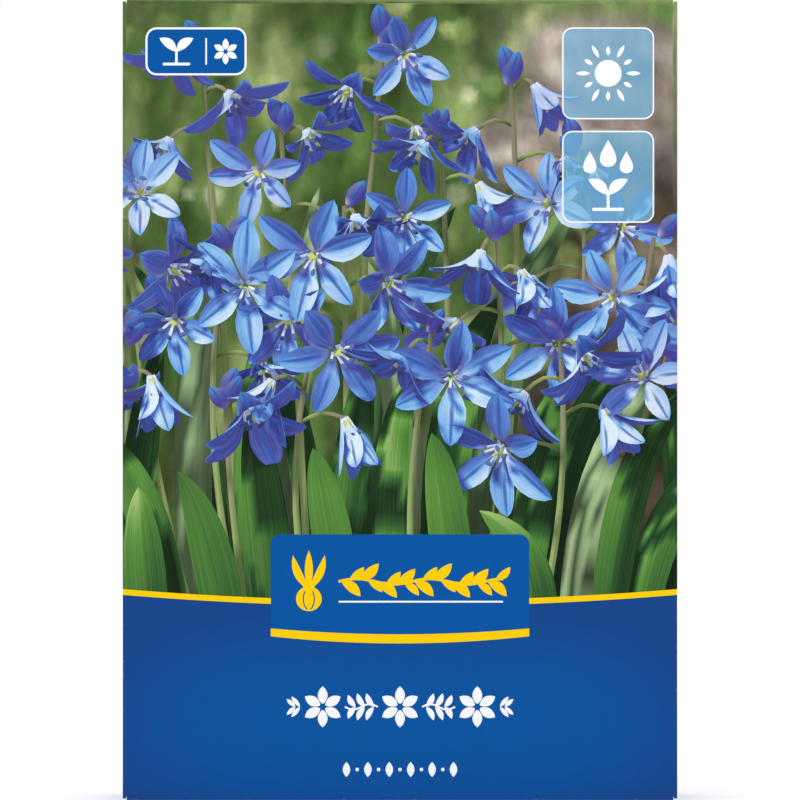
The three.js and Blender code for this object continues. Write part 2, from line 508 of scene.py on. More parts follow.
STEM_END = Tint(printed(132, 92, 116), 0.7, (("along", 0.35, 1.0), ("light", 0.0, 0.7)))
# The root plate's first colour is its dark one: partly its own colour, partly painted shade in the hollows.
ROOT_PLATE = Grain("root_plate", printed(96, 74, 50), printed(190, 164, 122), 11, 0.35, 0.65, 3e-4, "coat")
FLAT_INKS = {
    Ink.LABEL_BLUE: (2, 84, 160),
    Ink.YELLOW: (250, 205, 0),
    Ink.WHITE: (246, 248, 250),
    Ink.PALE_SKY: (198, 221, 240),
    Ink.SOIL: (112, 80, 54),
    Ink.SPROUT_GREEN: (84, 148, 62),
    Ink.TAN: (206, 160, 112),
}
FINISHES = {ink: FlatInk(f"ink_{ink.name.lower()}", printed(*rgb)) for ink, rgb in FLAT_INKS.items()} | {
    # The grains' first colours are their dark ones: partly grain colour, partly painted shade in the
    # hollows.
    Ink.BARE: Grain("bare_board", printed(184, 173, 152), printed(226, 221, 208), 1500, 0.26, 0.46, 3e-5),
    Ink.CUT_EDGE: Grain("cut_edge", printed(168, 158, 142), printed(232, 228, 218), 4000, 0.35, 0.68, 6e-5),
    Ink.GARDEN: GardenInk("ink_garden"),
    Ink.PETAL: PlantInk(
        "ink_petal",
        lines=(9.0, 1.4, 0.34),
        stops=(
            (0.0, printed(26, 26, 74)), (0.2, printed(62, 72, 148)), (0.42, printed(90, 132, 204)),
            (0.66, printed(134, 186, 232)), (1.0, printed(216, 234, 248)),
        ),
        tints=(
            Tint(printed(110, 96, 184), 0.5, (("hue", 0.0, 1.67),)),  # violet
            Tint(printed(58, 48, 130), 0.72, (("hue", 1.1, 1.3),)),  # buds
            Tint(printed(58, 150, 224), 0.75, (("along", 0.6, 1.0), ("light", 0.0, 1.0))),  # the tip
            Tint(printed(214, 222, 240), 0.7, (("along", 0.3, 0.0), ("light", 0.0, 1.0))),  # the throat
            Tint(printed(42, 84, 168), 0.8, (("aside", 0.24, 0.05), ("along", 0.12, 0.45))),  # the rib
        ),
    ),
    Ink.LEAF: PlantInk(
        "ink_leaf",
        lines=(16.0, 0.9, 0.3),
        stops=(
            (0.0, printed(10, 18, 12)), (0.22, printed(24, 46, 24)), (0.48, printed(48, 90, 46)),
            (0.74, printed(92, 142, 62)), (1.0, printed(172, 202, 124)),
        ),
        tints=(
            Tint(printed(184, 204, 156), 1.0, (("hue", 0.5, 1.0), ("light", 0.0, 1.0))),  # light from behind
            Tint(printed(24, 46, 24), 0.17, (("aside", 0.1, 0.0),)),  # the keel
        ),
    ),
    Ink.STEM: PlantInk.round("ink_stem", printed(36, 44, 28), printed(150, 172, 104), STEM_END),
    Ink.ANTHER: PlantInk.round("ink_anther", printed(20, 22, 52), printed(92, 112, 168)),
    Ink.FILAMENT: PlantInk.round("ink_filament", printed(96, 112, 178), printed(222, 232, 250)),
    Ink.PISTIL: PlantInk.round("ink_pistil", printed(84, 104, 52), printed(198, 208, 128)),
    Ink.PANEL_BLUE: GlowInk(),
}


# ---- Outlines on the sheet ----

LENS_STEPS = 7  # straight steps on each side of a pointed oval


def polar(centre: Point, radius: float, angle: float) -> Point:
    """Returns the point at a distance and an angle from a centre."""
    return (centre[0] + radius * cos(angle), centre[1] + radius * sin(angle))


def disc(centre: Point, radius: float, sides: int, squash: float = 1.0) -> Shape:
    """Outlines a disc, squashed upright if asked."""
    turns = [tau * i / sides for i in range(sides)]
    return [(centre[0] + radius * cos(a), centre[1] + squash * radius * sin(a)) for a in turns]


def drop(centre: Point, radius: float) -> Shape:
    """Outlines a drop of water, pointed above.

    Args:
        centre: The centre of its round part.
        radius: The radius of its round part.

    Returns:
        The outline.
    """
    turns = [tau * i / 36 for i in range(36)]
    aside = [-1.42 * radius * sin(a) * sin(a / 2) ** 1.5 for a in turns]
    return [(centre[0] + s, centre[1] + radius * (0.65 + 1.65 * cos(a))) for s, a in zip(aside, turns)]


def block(low: Point, high: Point) -> Shape:
    """Outlines a rectangle with square corners."""
    return [low, (high[0], low[1]), high, (low[0], high[1])]


def rounded(low: Point, high: Point, radius: float, inset: float = 0.0, square_foot: bool = False) -> Shape:
    """Outlines a rectangle with rounded corners.

    Args:
        low: Its lower left corner.
        high: Its upper right corner.
        radius: Radius of its corners, before it is drawn in.
        inset: How far it is drawn in.
        square_foot: Whether its lower corners are square.

    Returns:
        The outline.
    """
    (left, bottom), (right, top) = low, high
    corners = ((right, top, -1, -1), (left, top, 1, -1), (left, bottom, 1, 1), (right, bottom, -1, 1))
    outline = []
    for quarter, (s, t, inwards, up) in enumerate(corners):
        if square_foot and quarter > 1:
            outline.append((s + inwards * inset, t + up * inset))
            continue
        centre = (s + inwards * radius, t + up * radius)
        outline += [polar(centre, radius - inset, (quarter + i / 6) * pi / 2) for i in range(7)]
    return outline


def lens(foot: Point, tip: Point, width: float, bend: float = 0.0) -> Shape:
    """Outlines a pointed oval, such as a leaf or a petal.

    Args:
        foot: Its first point.
        tip: Its last point.
        width: Its greatest width.
        bend: How far its middle is pushed to the left.

    Returns:
        The outline.
    """
    ds, dt = tip[0] - foot[0], tip[1] - foot[1]
    outline = []
    for half, steps in ((-width / 2, range(LENS_STEPS)), (width / 2, range(LENS_STEPS, 0, -1))):
        for share in (step / LENS_STEPS for step in steps):
            off = 4 * share * (1 - share) * bend + half * sin(pi * share) ** 0.8
            off /= hypot(ds, dt)
            outline.append((foot[0] + ds * share - dt * off, foot[1] + dt * share + ds * off))
    return outline


def stroke(points: Shape, width: float) -> Shape:
    """Outlines a line of even width.

    Args:
        points: Points along its middle.
        width: Its width.

    Returns:
        The outline.
    """
    right, left = [], []
    for i, (s, t) in enumerate(points):
        before, after = points[max(i - 1, 0)], points[min(i + 1, len(points) - 1)]
        ds, dt = after[0] - before[0], after[1] - before[1]
        half = width / 2 / hypot(ds, dt)
        right.append((s + dt * half, t - ds * half))
        left.append((s - dt * half, t + ds * half))
    return right + left[::-1]


@dataclass(frozen=True)
class Curve:
    """A shallow bow on the sheet."""

    level: float  # height at its centre
    rise: float = 0.0  # for each square millimetre from there
    centre: float = 0.0

    def __call__(self, s: float) -> float:
        """Returns the height at s."""
        return self.level + self.rise * (s - self.centre) ** 2


def strip(lower: Curve, upper: Curve, start: float, end: float, steps: int = 24) -> Shape:
    """Outlines the strip between two curves, from start to end."""
    places = [start + (end - start) * i / steps for i in range(steps + 1)]
    return [(s, lower(s)) for s in places] + [(s, upper(s)) for s in reversed(places)]


def holds(outline: Shape | Array, spots: Array) -> Array:
    """Says which points lie in an outline, by counting edges to the right of each.

    Args:
        outline: The outline.
        spots: One row of s and t for each point.

    Returns:
        True for each point inside.
    """
    s, t = spots[:, 0], spots[:, 1]
    odd = np.zeros(len(spots), dtype=bool)
    for (s0, t0), (s1, t1) in zip(outline, np.roll(outline, -1, axis=0)):
        if t0 != t1:
            odd ^= ((t0 > t) != (t1 > t)) & (s < s0 + (t - t0) / (t1 - t0) * (s1 - s0))
    return odd


# ---- The sheet of board ----


@dataclass(frozen=True)
class Board:
    """Sizes of the folded sheet, in millimetres."""

    width: float
    depth: float
    height: float
    thick: float = 0.6
    ply: float = 0.62  # from one glued ply to the next
    fold: float = 0.9  # outside radius of a fold
    fold_steps: int = 5  # straight steps round a quarter fold
    outer_flap_setback: float = 0.6  # from the outer flap's cut edge to the back
    inner_flap: float = 27.0  # reach of the flap hinged on the back
    dust_flap: float = 52.0  # reach of the flaps hinged on the sides
    dust_trim: float = 0.5  # how much narrower they are on each side
    dust_shoulder: float = 6.0  # cut off their free corners
    glue_flap: float = 13.0  # reach of the flap inside the back
    glue_shoulder: float = 4.0
    seam_setback: float = 0.7  # from the back's cut edge to the left face
    corner_slot: float = 0.45  # from an upright fold's end to the ply over it
    vent_radius: float = 3.5  # of the air holes in the sides
    vent_pitch: float = 32.0
    vent_rows: int = 5
    lowest_vent: float = 37.0
    notch_radius: float = 8.0  # of the thumb notch in the outer top flap

    @property
    def arc(self) -> float:
        """Length of a quarter fold on the outside of the sheet."""
        return self.fold * pi / 2

    @property
    def bends(self) -> list[float]:
        """Places of the creases in a quarter fold, from its start."""
        return [self.arc * i / self.fold_steps for i in range(self.fold_steps + 1)]


@dataclass(frozen=True)
class Wall:
    """A flat wall of the packet, with a flap folded in at each end if it has flaps."""

    board: Board
    start: float  # on the sheet
    width: float
    corner: Vector  # where its outside starts at the base, in the frame's millimetres
    along: Vector  # direction of growing s
    inwards: Vector
    ply: int  # plies that lie outside its flaps
    reach: float = 0.0  # of its flaps, from its outside, or 0 for none
    trim: float = 0.15  # how much narrower the flaps are on each side
    shoulder: float = 0.0  # cut off the flaps' free corners

    @property
    def end(self) -> float:
        """Where the wall ends on the sheet."""
        return self.start + self.width

    @property
    def middle(self) -> float:
        """The wall's middle on the sheet."""
        return self.start + self.width / 2

    @property
    def creases(self) -> Point:
        """Where the lower fold ends and the upper fold starts."""
        inset = self.ply * self.board.ply + self.board.fold
        return (inset, self.board.height - inset)

    @property
    def flap(self) -> float:
        """Length of a flap on the sheet, its fold included."""
        return self.board.arc + self.reach - self.board.fold if self.reach else 0.0

    def outline(self) -> Shape:
        """Draws the wall with its flaps.

        Returns:
            The outline.
        """
        low, high = self.creases
        trim, cut = self.trim, self.shoulder
        if not self.reach:
            return [(self.start, low + cut), (self.end, low), (self.end, high), (self.start, high - cut)]
        bottom, top = low - self.flap, high + self.flap
        edge = [(trim + cut, bottom), (trim, bottom + cut), (trim, low), (0, low)]
        edge += [(0, high), (trim, high), (trim, top - cut), (trim + cut, top)]
        right_edge = [(self.end - inset, t) for inset, t in edge]
        return right_edge + [(self.start + inset, t) for inset, t in reversed(edge)]

    def crease_lines(self) -> list[Shape]:
        """Finds the lines that the wall's flaps bend along.

        Returns:
            The lines.
        """
        low, high = self.creases
        levels = [t for bend in self.board.bends for t in (high + bend, low - bend)] if self.reach else []
        return [[(self.start + self.trim, t), (self.end - self.trim, t)] for t in levels]

    def fold_up(self, s: float, t: float, depth: float) -> Vector:
        """Finds a point of the folded wall.

        Args:
            s: Place round the sheet.
            t: Place up the sheet.
            depth: How far below the printed face, in millimetres.

        Returns:
            The point in the frame, in millimetres.
        """
        low, high = self.creases
        flat = min(max(t, low), high) if self.reach else t
        past = abs(t - flat)
        turn = min(past / self.board.fold, pi / 2)
        radius = self.board.fold - depth
        inside = self.board.fold - radius * cos(turn) + max(past - self.board.arc, 0.0)
        up = flat + copysign(radius * sin(turn), t - flat)
        return self.corner + self.along * (s - self.start) + self.inwards * inside + Vector((0, 0, up))


@dataclass(frozen=True)
class Corner:
    """An upright fold after a wall."""

    wall: Wall
    ply: int  # plies that close over it

    @property
    def end(self) -> float:
        """Where the fold ends on the sheet."""
        return self.wall.end + self.wall.board.arc

    @property
    def heart(self) -> Vector:
        """The middle that the fold turns round, in the frame's millimetres."""
        wall = self.wall
        return wall.corner + wall.along * wall.width + wall.inwards * wall.board.fold

    @property
    def creases(self) -> Point:
        """Its lower and upper end."""
        slot = self.ply * self.wall.board.ply + self.wall.board.corner_slot
        return (slot, self.wall.board.height - slot)

    def outline(self) -> Shape:
        """Returns the fold's outline."""
        low, high = self.creases
        return block((self.wall.end, low), (self.end, high))

    def crease_lines(self) -> list[Shape]:
        """Returns the lines that the sheet bends along."""
        return [[(self.wall.end + bend, t) for t in self.creases] for bend in self.wall.board.bends]

    def fold_up(self, s: float, t: float, depth: float) -> Vector:
        """Finds a point of the fold, as fold_up of a wall does.

        Args:
            s: Place round the sheet.
            t: Place up the sheet.
            depth: How far below the printed face.

        Returns:
            The point.
        """
        radius = self.wall.board.fold
        turn = (s - self.wall.end) / radius
        out = self.wall.along * sin(turn) - self.wall.inwards * cos(turn)
        return self.heart + out * (radius - depth) + Vector((0, 0, t))


@dataclass
class Sheet:
    """The whole cut sheet: five walls joined by four upright folds, with its holes."""

    board: Board

    def __post_init__(self) -> None:
        """Lays walls and folds out from the glue flap on, and punches the holes."""
        b = self.board
        seam = b.depth / 2 - b.ply  # outside of the glue flap, which lies one ply in
        dust = (2, b.dust_flap, b.dust_trim, b.dust_shoulder)
        walls = (  # width, plies and flaps, and the plies over the fold after it
            (b.glue_flap - b.fold, (2, 0.0, 0.0, b.glue_shoulder), 2),
            (seam + b.depth / 2 - 2 * b.fold, dust, 0),
            (b.width - 2 * b.fold, (0, b.depth - b.outer_flap_setback), 0),
            (b.depth - 2 * b.fold, dust, 1),
            (b.width - b.fold - b.seam_setback, (1, b.inner_flap), 0),
        )
        glue, left, front = (width for width, _, _ in walls[:3])
        start = -front / 2 - left - glue - 2 * b.arc
        corner = Vector((b.glue_flap - b.width / 2, seam, 0))
        along, inwards = Vector((-1, 0, 0)), Vector((0, -1, 0))
        self.regions = []
        for width, flaps, ply in walls:
            wall = Wall(b, start, width, corner, along, inwards, *flaps)
            fold = Corner(wall, ply)
            self.regions += [wall, fold]
            start, corner = fold.end, fold.heart + along * b.fold
            along, inwards = inwards, -along
        self.regions.pop()
        self.left, self.front, self.right, self.back = self.regions[2::2]
        heights = [b.lowest_vent + row * b.vent_pitch for row in range(b.vent_rows)]
        vents = [(wall.middle, t) for wall in (self.left, self.right) for t in heights]
        self.holes = [disc(vent, b.vent_radius, 32) for vent in vents]
        self.holes.append(disc((self.front.middle, self.top), b.notch_radius, 48))

    @property
    def top(self) -> float:
        """Where the outer top flap ends on the sheet."""
        return self.front.creases[1] + self.front.flap

    def crease_lines(self) -> list[Shape]:
        """Returns every line that the sheet bends along."""
        return [line for region in self.regions for line in region.crease_lines()]

    def walls_at(self, spots: Array) -> Array:
        """Finds the wall or fold that each point lies on.

        Args:
            spots: One row of s and t for each point.

        Returns:
            The number of each point's wall or fold, or -1 off the board.
        """
        found = np.full(len(spots), -1)
        for number, region in enumerate(self.regions):
            found[holds(region.outline(), spots)] = number
        for hole in self.holes:
            found[holds(hole, spots)] = -1
        return found


# ---- The posy in the picture ----

ACROSS, AWAY, UP = 0, 1, 2  # the posy's axes: it is grown in space and seen from the front


@dataclass
class Patch:
    """One skin of a plant part: a grid of points, with rows along it."""

    points: Array  # each (across, away, up) in millimetres
    ink: Ink
    hue: float  # how far its colour is turned, 0 to 1, and more in a bud
    seed: float  # picks its veins, 0 to 1
    glow: float = 0.0  # how much light comes through it

    def normals(self) -> Array:
        """Finds which way the skin faces.

        Returns:
            The unit normal at each point, on the side that is seen.
        """
        normal = np.cross(np.gradient(self.points, axis=0), np.gradient(self.points, axis=1))
        normal /= np.linalg.norm(normal, axis=2, keepdims=True) + 1e-9
        return np.where(normal[..., AWAY : AWAY + 1] > 0, -normal, normal)

    def cells(self) -> list[tuple[int, int, int, int]]:
        """Lists the grid's cells.

        Returns:
            The indices of each cell's four points, row by row.
        """
        rows, columns = self.points.shape[:2]
        starts = [r * columns + c for r in range(rows - 1) for c in range(columns - 1)]
        return [(i, i + 1, i + columns + 1, i + columns) for i in starts]

    def marks(self, light: Array) -> Array:
        """Lists what the print has to know at each point.

        Args:
            light: The light at each.

        Returns:
            One row of place across, -1 to 1, place along, 0 to 1, light, hue and seed for each.
        """
        rows, columns = self.points.shape[:2]
        across, along = np.meshgrid(np.linspace(-1, 1, columns), np.linspace(0, 1, rows))
        same = np.full((rows * columns, 2), (self.hue, self.seed))
        return np.column_stack([across.ravel(), along.ravel(), light, same])


def sweep(path: Array, half: Array, columns: int, lift: float, tilt: float = 0.0) -> Array:
    """Sweeps a cross-section along a path, facing the front.

    Args:
        path: Points along the part's middle.
        half: Half width at each of them.
        columns: Points across.
        lift: 1 for a round part, negative for a leaf folded along its middle.
        tilt: Turn of the section about the path, in radians.

    Returns:
        The grid of points.
    """
    along = np.gradient(path, axis=0)
    side = np.stack([along[:, UP], np.zeros(len(path)), -along[:, ACROSS]], axis=1)
    side /= np.linalg.norm(side, axis=1, keepdims=True) + 1e-9
    front = np.array([0.0, -1.0, 0.0])
    across = np.linspace(-1, 1, columns)[None, :, None]
    height = lift * (np.sqrt(1 - 0.96 * across**2) if lift > 0 else np.abs(across))
    width = half[:, None, None]
    turned_side = side[:, None, :] * cos(tilt) - front * sin(tilt)
    turned_front = front * cos(tilt) + side[:, None, :] * sin(tilt)
    return path[:, None, :] + turned_side * across * width + turned_front * height * width


@dataclass
class Posy:
    """A clump of squill in flower, in millimetres, seen from the front."""

    seed: int = 11  # picks all its small differences
    petals: int = 6
    petal_length: float = 15.2
    petal_glow: float = 0.5  # how much light comes through a petal
    leaf_glow: float = 0.6
    ground: float = 30.0  # where stems and leaves start, behind the lower panel
    leaf_steps: int = 17
    stem_steps: int = 15
    node_pitch: float = 9.0  # from one flower to the next down a stem

    STEMS = (
        (-50, 190, 12, 14, 3), (-4, 192, -6, 14, 3), (28, 182, -8, 13, 3), (-92, 170, 18, 10, 3),
        (92, 148, -20, 8, 3), (-30, 170, 8, 8, 3), (10, 168, -4, 6, 3), (46, 164, -14, 8, 4),
        (-68, 158, 20, 4, 3), (-44, 142, 8, 2, 4), (-14, 150, 2, 0, 4), (24, 144, -6, -2, 4),
        (64, 142, -18, 0, 3), (-88, 126, 22, -2, 3), (-68, 118, 12, -4, 3), (-22, 116, 4, -6, 3),
        (8, 118, -2, -8, 2), (40, 118, -8, -8, 4), (84, 116, -22, -4, 2), (-44, 102, 8, -10, 1),
        (66, 112, -12, -10, 1),
    )
    LEAVES = (
        (-64, -96, 112, -4, 12, 0.2), (-56, -78, 96, -12, 13, 0.1), (-50, -42, 146, 8, 12, 0.9),
        (-46, -68, 138, 12, 10, 0.3), (-42, -56, 84, -20, 13, 0.3), (-38, -34, 124, 4, 12, 0.0),
        (-34, -20, 158, 16, 11, 0.95), (-30, -38, 100, -8, 13, 0.1), (-22, -46, 132, 10, 10, 0.5),
        (-18, -8, 116, -4, 13, 0.2), (-12, -22, 90, -13, 12, 0.4), (-6, 14, 152, 18, 13, 0.6),
        (-2, 4, 112, -7, 13, 0.1), (6, -8, 138, 14, 10, 0.9), (10, 26, 130, 0, 14, 0.0),
        (16, 8, 94, -16, 12, 0.3), (22, 50, 160, 17, 12, 0.7), (28, 40, 110, -6, 12, 0.2),
        (34, 20, 74, -27, 14, 0.1), (38, 66, 122, 4, 11, 0.5), (44, 94, 128, -3, 12, 0.9),
        (48, 100, 168, 13, 10, 1.0), (52, 74, 106, -12, 12, 0.1), (60, 104, 100, -8, 12, 0.4),
        (66, 104, 140, 8, 9, 0.7), (-72, -102, 136, 6, 11, 0.6), (-66, -96, 156, 16, 10, 0.9),
        (-62, -66, 80, -24, 13, 0.2), (-70, -60, 120, 0, 10, 0.1), (70, 62, 116, 2, 10, 0.2),
    )

    def __post_init__(self) -> None:
        """Grows the clump."""
        self.patches: list[Patch] = []
        self.random = random.Random(self.seed)
        for leaf in self.LEAVES:
            self.grow_leaf(*leaf)
        for stem in self.STEMS:
            self.grow_stem(*stem)

    def add(self, points: Array, ink: Ink, hue: float = 0.0, glow: float = 0.0) -> None:
        """Adds a skin to the clump, with a seed of its own."""
        self.patches.append(Patch(points, ink, hue, self.random.random(), glow))

    def grow_leaf(self, foot: float, tip: float, top: float, back: float, width: float, pale: float) -> None:
        """Grows an arching strap leaf.

        Args:
            foot: Where it starts, across.
            tip: Where its tip is, across.
            top: Height of its tip.
            back: How far back it stands.
            width: Its greatest width.
            pale: How pale its green is, 0 to 1.
        """
        pick = self.random.uniform
        share = np.linspace(0, 1, self.leaf_steps)
        arch = np.sin(pi * share)
        across = foot + (tip - foot) * share**1.7 + pick(-3.5, 3.5) * arch
        away = back + 6 * share**2 * pick(-1, 1)
        up = self.ground + (top - self.ground) * (share + 0.16 * arch) / (1 + 0.02 * share)
        swell = 0.6 + 0.4 * np.sin(pi * np.minimum(share * 0.9, 0.5))
        half = 0.5 * width * swell * (1 - share ** pick(1.8, 2.8)) ** 0.8 + 0.05
        path = np.stack([across, away, up], axis=1)
        self.add(sweep(path, half, 7, pick(-0.4, -0.15), pick(-0.45, 0.45)), Ink.LEAF, pale, self.leaf_glow)

    def grow_stem(self, tip: float, top: float, lean: float, back: float, flowers: int) -> None:
        """Grows a stem with buds on top, and under them flowers by turns to the left and the right.

        Args:
            tip: Where its tip is, across.
            top: Height of its tip.
            lean: How far aside its foot is.
            back: How far back it stands.
            flowers: How many are open on it.
        """
        pick = self.random.uniform
        share = np.linspace(0, 1, self.stem_steps)
        across = tip + lean * (1 - share) ** 1.4 + pick(-6, 6) * np.sin(pi * share)
        up = self.ground + (top - self.ground) * share
        path = np.stack([across, np.full(len(share), float(back)), up], axis=1)
        self.add(sweep(path, np.linspace(1.0, 0.6, len(share)), 4, 1.0), Ink.STEM)
        hue = pick(0, 0.8)
        side = self.random.choice((-1, 1))
        for order in range(flowers):
            node = path[-1] - np.array([0, 0, 3.0 + self.node_pitch * order])
            node[ACROSS] = np.interp(node[UP], path[:, UP], path[:, ACROSS])
            aside = side * (4.5 + 3.0 * order) + pick(-2, 2)
            heart = node + np.array([aside, -2.0 - pick(0, 7), pick(-3, 2)])
            self.grow_stalk(node, heart)
            self.grow_flower(heart, *self.held(side), float(np.clip(hue + pick(-0.3, 0.4), 0, 1)))
            side = -side
        for bud in range(self.random.randint(1, 3)):
            foot = path[-1] + np.array([pick(-1.5, 1.5), -1.0 - bud, -1.5 * bud])
            self.grow_bud(foot, pick(-0.9, 0.9), pick(6.5, 9.0))

    def held(self, side: int) -> tuple[Vector, float, float]:
        """Picks how a flower is held.

        Args:
            side: 1 on the right of its stem, -1 on the left.

        Returns:
            Which way it looks, its petals' angle from its axis, and how much more they open at their tips.
        """
        pick = self.random.uniform
        mood = self.random.random()
        if mood < 0.33:  # looks out of the picture
            facing = (side * pick(-0.2, 0.8), -1.0, pick(-0.6, 0.3))
            opening, bend = pick(1.05, 1.4), pick(-0.1, 0.45)
        elif mood < 0.8:  # nods, with its petals swept out
            facing = (side * pick(0.1, 0.9), -pick(0.3, 0.8), -1.0)
            opening, bend = pick(0.7, 1.0), pick(0.3, 0.9)
        else:  # a hanging bell
            facing = (side * pick(0.2, 0.7), -pick(0.1, 0.4), -1.0)
            opening, bend = pick(0.28, 0.5), pick(0.05, 0.4)
        return Vector(facing).normalized(), opening, bend

    def grow_stalk(self, start: Array, end: Array) -> None:
        """Grows the thin stalk that holds a flower.

        Args:
            start: Where it leaves the stem.
            end: Where it meets the flower.
        """
        share = np.linspace(0, 1, 5)[:, None]
        path = start + (end - start) * share + np.array([0, 0, 2.0]) * np.sin(pi * share)
        path[:, AWAY] += 0.6
        self.add(sweep(path, np.full(5, 0.5), 3, 1.0), Ink.STEM, 1.0)

    def grow_bud(self, foot: Array, lean: float, length: float) -> None:
        """Grows a closed bud.

        Args:
            foot: Where it starts.
            lean: Its lean to the right, in radians.
            length: Its length.
        """
        share = np.linspace(0, 1, 8)
        path = foot + np.outer(share * length, [sin(lean), -0.1, cos(lean)])
        half = 0.29 * length * np.sin(pi * np.clip(0.05 + 0.93 * share, 0, 1)) ** 0.75
        self.add(sweep(path, half + 0.05, 6, 1.0), Ink.PETAL, self.random.uniform(1.4, 1.7))

    def grow_flower(self, heart: Array, facing: Vector, opening: float, bend: float,
                    hue: float) -> None:
        """Grows a flower with its petals, as many stamens, and its pistil.

        Args:
            heart: Where its petals meet.
            facing: Which way it looks.
            opening: Its petals' angle from its axis.
            bend: How much more they open at their tips.
            hue: How violet it is.
        """
        pick = self.random.uniform
        turned = facing.to_track_quat("Z", "Y").to_matrix() @ Matrix.Rotation(pick(0, tau), 3, "Z")
        axes = np.array(turned).T
        size = self.petal_length * pick(0.88, 1.08) * (1 - 0.011 * heart[AWAY])
        for i in range(self.petals):
            outer = i % 2
            length, lean = size * pick(0.88, 1.05), opening + 0.1 * outer + pick(-0.24, 0.2)
            grid = self.petal(length, lean, bend + pick(-0.35, 0.5))
            turn = i * tau / self.petals + pick(-0.2, 0.2)
            grid = grid @ np.array(Matrix.Rotation(turn, 3, "Z")).T
            grid[..., 2] -= 0.35 * outer
            own_hue = float(np.clip(hue + pick(-0.15, 0.15), 0, 1))
            self.add(heart + grid @ axes, Ink.PETAL, own_hue, self.petal_glow)
        for i in range(self.petals):
            angle = (i + 0.5) * tau / self.petals + pick(-0.15, 0.15)
            self.grow_stamen(heart, axes, angle, min(opening, 1.0))
        ovary = heart + np.outer(np.linspace(0, 5.4, 7), axes[2])
        self.add(sweep(ovary, np.array([0.7, 1.35, 1.5, 1.2, 0.45, 0.32, 0.3]), 5, 1.0), Ink.PISTIL)

    def grow_stamen(self, heart: Array, axes: Array, angle: float, opening: float) -> None:
        """Grows a stamen: its filament and its anther.

        Args:
            heart: Where the flower's petals meet.
            axes: The flower's three axes, one a row.
            angle: The stamen's place round the flower's axis, in radians.
            opening: How far the flower is open, 0 to 1.
        """
        pick = self.random.uniform
        out = np.array([cos(angle), sin(angle), 0.0])
        reach = np.linspace(0, 1, 3)[:, None]
        line = out * (0.8 + (0.4 + 2.2 * opening * pick(0.7, 1.0)) * reach)
        line[:, 2] = pick(4.6, 5.6) * reach[:, 0]
        filament = heart + line @ axes
        self.add(sweep(filament, np.full(3, 0.34), 3, 1.0), Ink.FILAMENT)
        way = np.array([pick(-1, 1), -0.3, pick(-1, 0.4)])
        way /= np.linalg.norm(way)
        anther = filament[-1] + np.array([0, -0.5, 0]) + np.outer(np.linspace(-1.05, 1.05, 5), way)
        self.add(sweep(anther, np.array([0.12, 0.5, 0.58, 0.5, 0.12]), 3, 1.0), Ink.ANTHER)

    def petal(self, length: float, opening: float, bend: float) -> Array:
        """Shapes a petal that grows from the flower's axis, which is the third axis here.

        Args:
            length: Its length.
            opening: Its angle from the axis.
            bend: How much more it opens towards its tip.

        Returns:
            Its grid of points.
        """
        share = 1 - (1 - np.linspace(0, 1, 9)) ** 1.3
        angle = opening * (0.6 + 0.4 * np.minimum(share * 2.5, 1)) + bend * share**2
        step = np.diff(share, prepend=0) * length
        out, up = 0.9 + np.cumsum(step * np.sin(angle)), np.cumsum(step * np.cos(angle))
        swell = np.sin(pi * share**1.12) ** 0.62 * (0.4 + 0.6 * np.minimum(share / 0.42, 1))
        half = 0.205 * length * swell + 0.05
        across = np.linspace(-1, 1, 5)
        lift = self.random.uniform(0.1, 0.5) * np.outer(half, across**2)
        out, up, angle = out[:, None], up[:, None], angle[:, None]
        grid = [out - lift * np.cos(angle), np.outer(half, across), up + lift * np.sin(angle)]
        return np.stack(grid, axis=2)


@dataclass
class Daylight:
    """Lights the posy with sun and sky."""

    posy: Posy
    sun: tuple[float, float, float] = (-0.42, -0.55, 0.72)  # direction towards it
    sun_reach: float = 70.0  # how far a leaf can throw its shade
    sky_reach: float = 16.0  # how far it can keep the sky off
    sky_ways: int = 6  # directions that the sky is looked for in
    TO_FRONT = Vector((0, -1, 0))

    def __post_init__(self) -> None:
        """Gathers the clump's skins."""
        points, faces = [], []
        for patch in self.posy.patches:
            faces += [tuple(len(points) + i for i in cell) for cell in patch.cells()]
            points += map(Vector, patch.points.reshape(-1, 3))
        self.tree = BVHTree.FromPolygons(points, faces)
        self.to_sun = Vector(self.sun).normalized()
        slants = [tau * i / self.sky_ways for i in range(self.sky_ways)]
        self.sky = [Vector((0.75 * cos(a), -0.6, 0.75 * sin(a))).normalized() for a in slants]

    def on(self, patch: Patch) -> Array:
        """Returns the light at each point of a skin, 0 in the dark to about 1."""
        pairs = zip(patch.points.reshape(-1, 3), patch.normals().reshape(-1, 3))
        return np.array([self.at(Vector(point), Vector(normal), patch.glow) for point, normal in pairs])

    def at(self, point: Vector, normal: Vector, glow: float) -> float:
        """Finds the light at one point.

        Args:
            point: Where.
            normal: The side that is seen.
            glow: How much light comes through from behind.

        Returns:
            The light.
        """
        facing = normal.dot(self.to_sun)
        start = point + normal * 0.35
        shaded = self.tree.ray_cast(start + self.to_sun * 0.4, self.to_sun, self.sun_reach)[0] is not None
        seen = sum(self.tree.ray_cast(start, way, self.sky_reach)[0] is None for way in self.sky)
        direct = 0.0 if shaded else max(facing, -glow * facing)
        ambient = (0.08 + 0.34 * seen / self.sky_ways) * (0.75 + 0.25 * normal[UP])
        deep = min(max((point[AWAY] + 2) / 34, 0), 1)
        low = min(max((78 - point[UP]) / 60, 0), 1)
        return (ambient + 0.74 * direct) * (1 - 0.45 * deep) * (1 - 0.5 * low)

    def hides(self, point: Array) -> bool:
        """Says whether something stands in front of a point."""
        start = Vector(point) + self.TO_FRONT * 0.08
        return self.tree.ray_cast(start, self.TO_FRONT, 200.0)[0] is not None

    def seen(self, patch: Patch) -> list[tuple[int, int, int, int]]:
        """Finds the cells of a skin that are not hidden.

        Args:
            patch: The skin.

        Returns:
            The cells.
        """
        points = patch.points.reshape(-1, 3)
        hidden = [self.hides(point) for point in points]
        return [cell for cell in patch.cells()
                if not all(hidden[i] for i in cell) or not self.hides(points[list(cell)].mean(axis=0))]


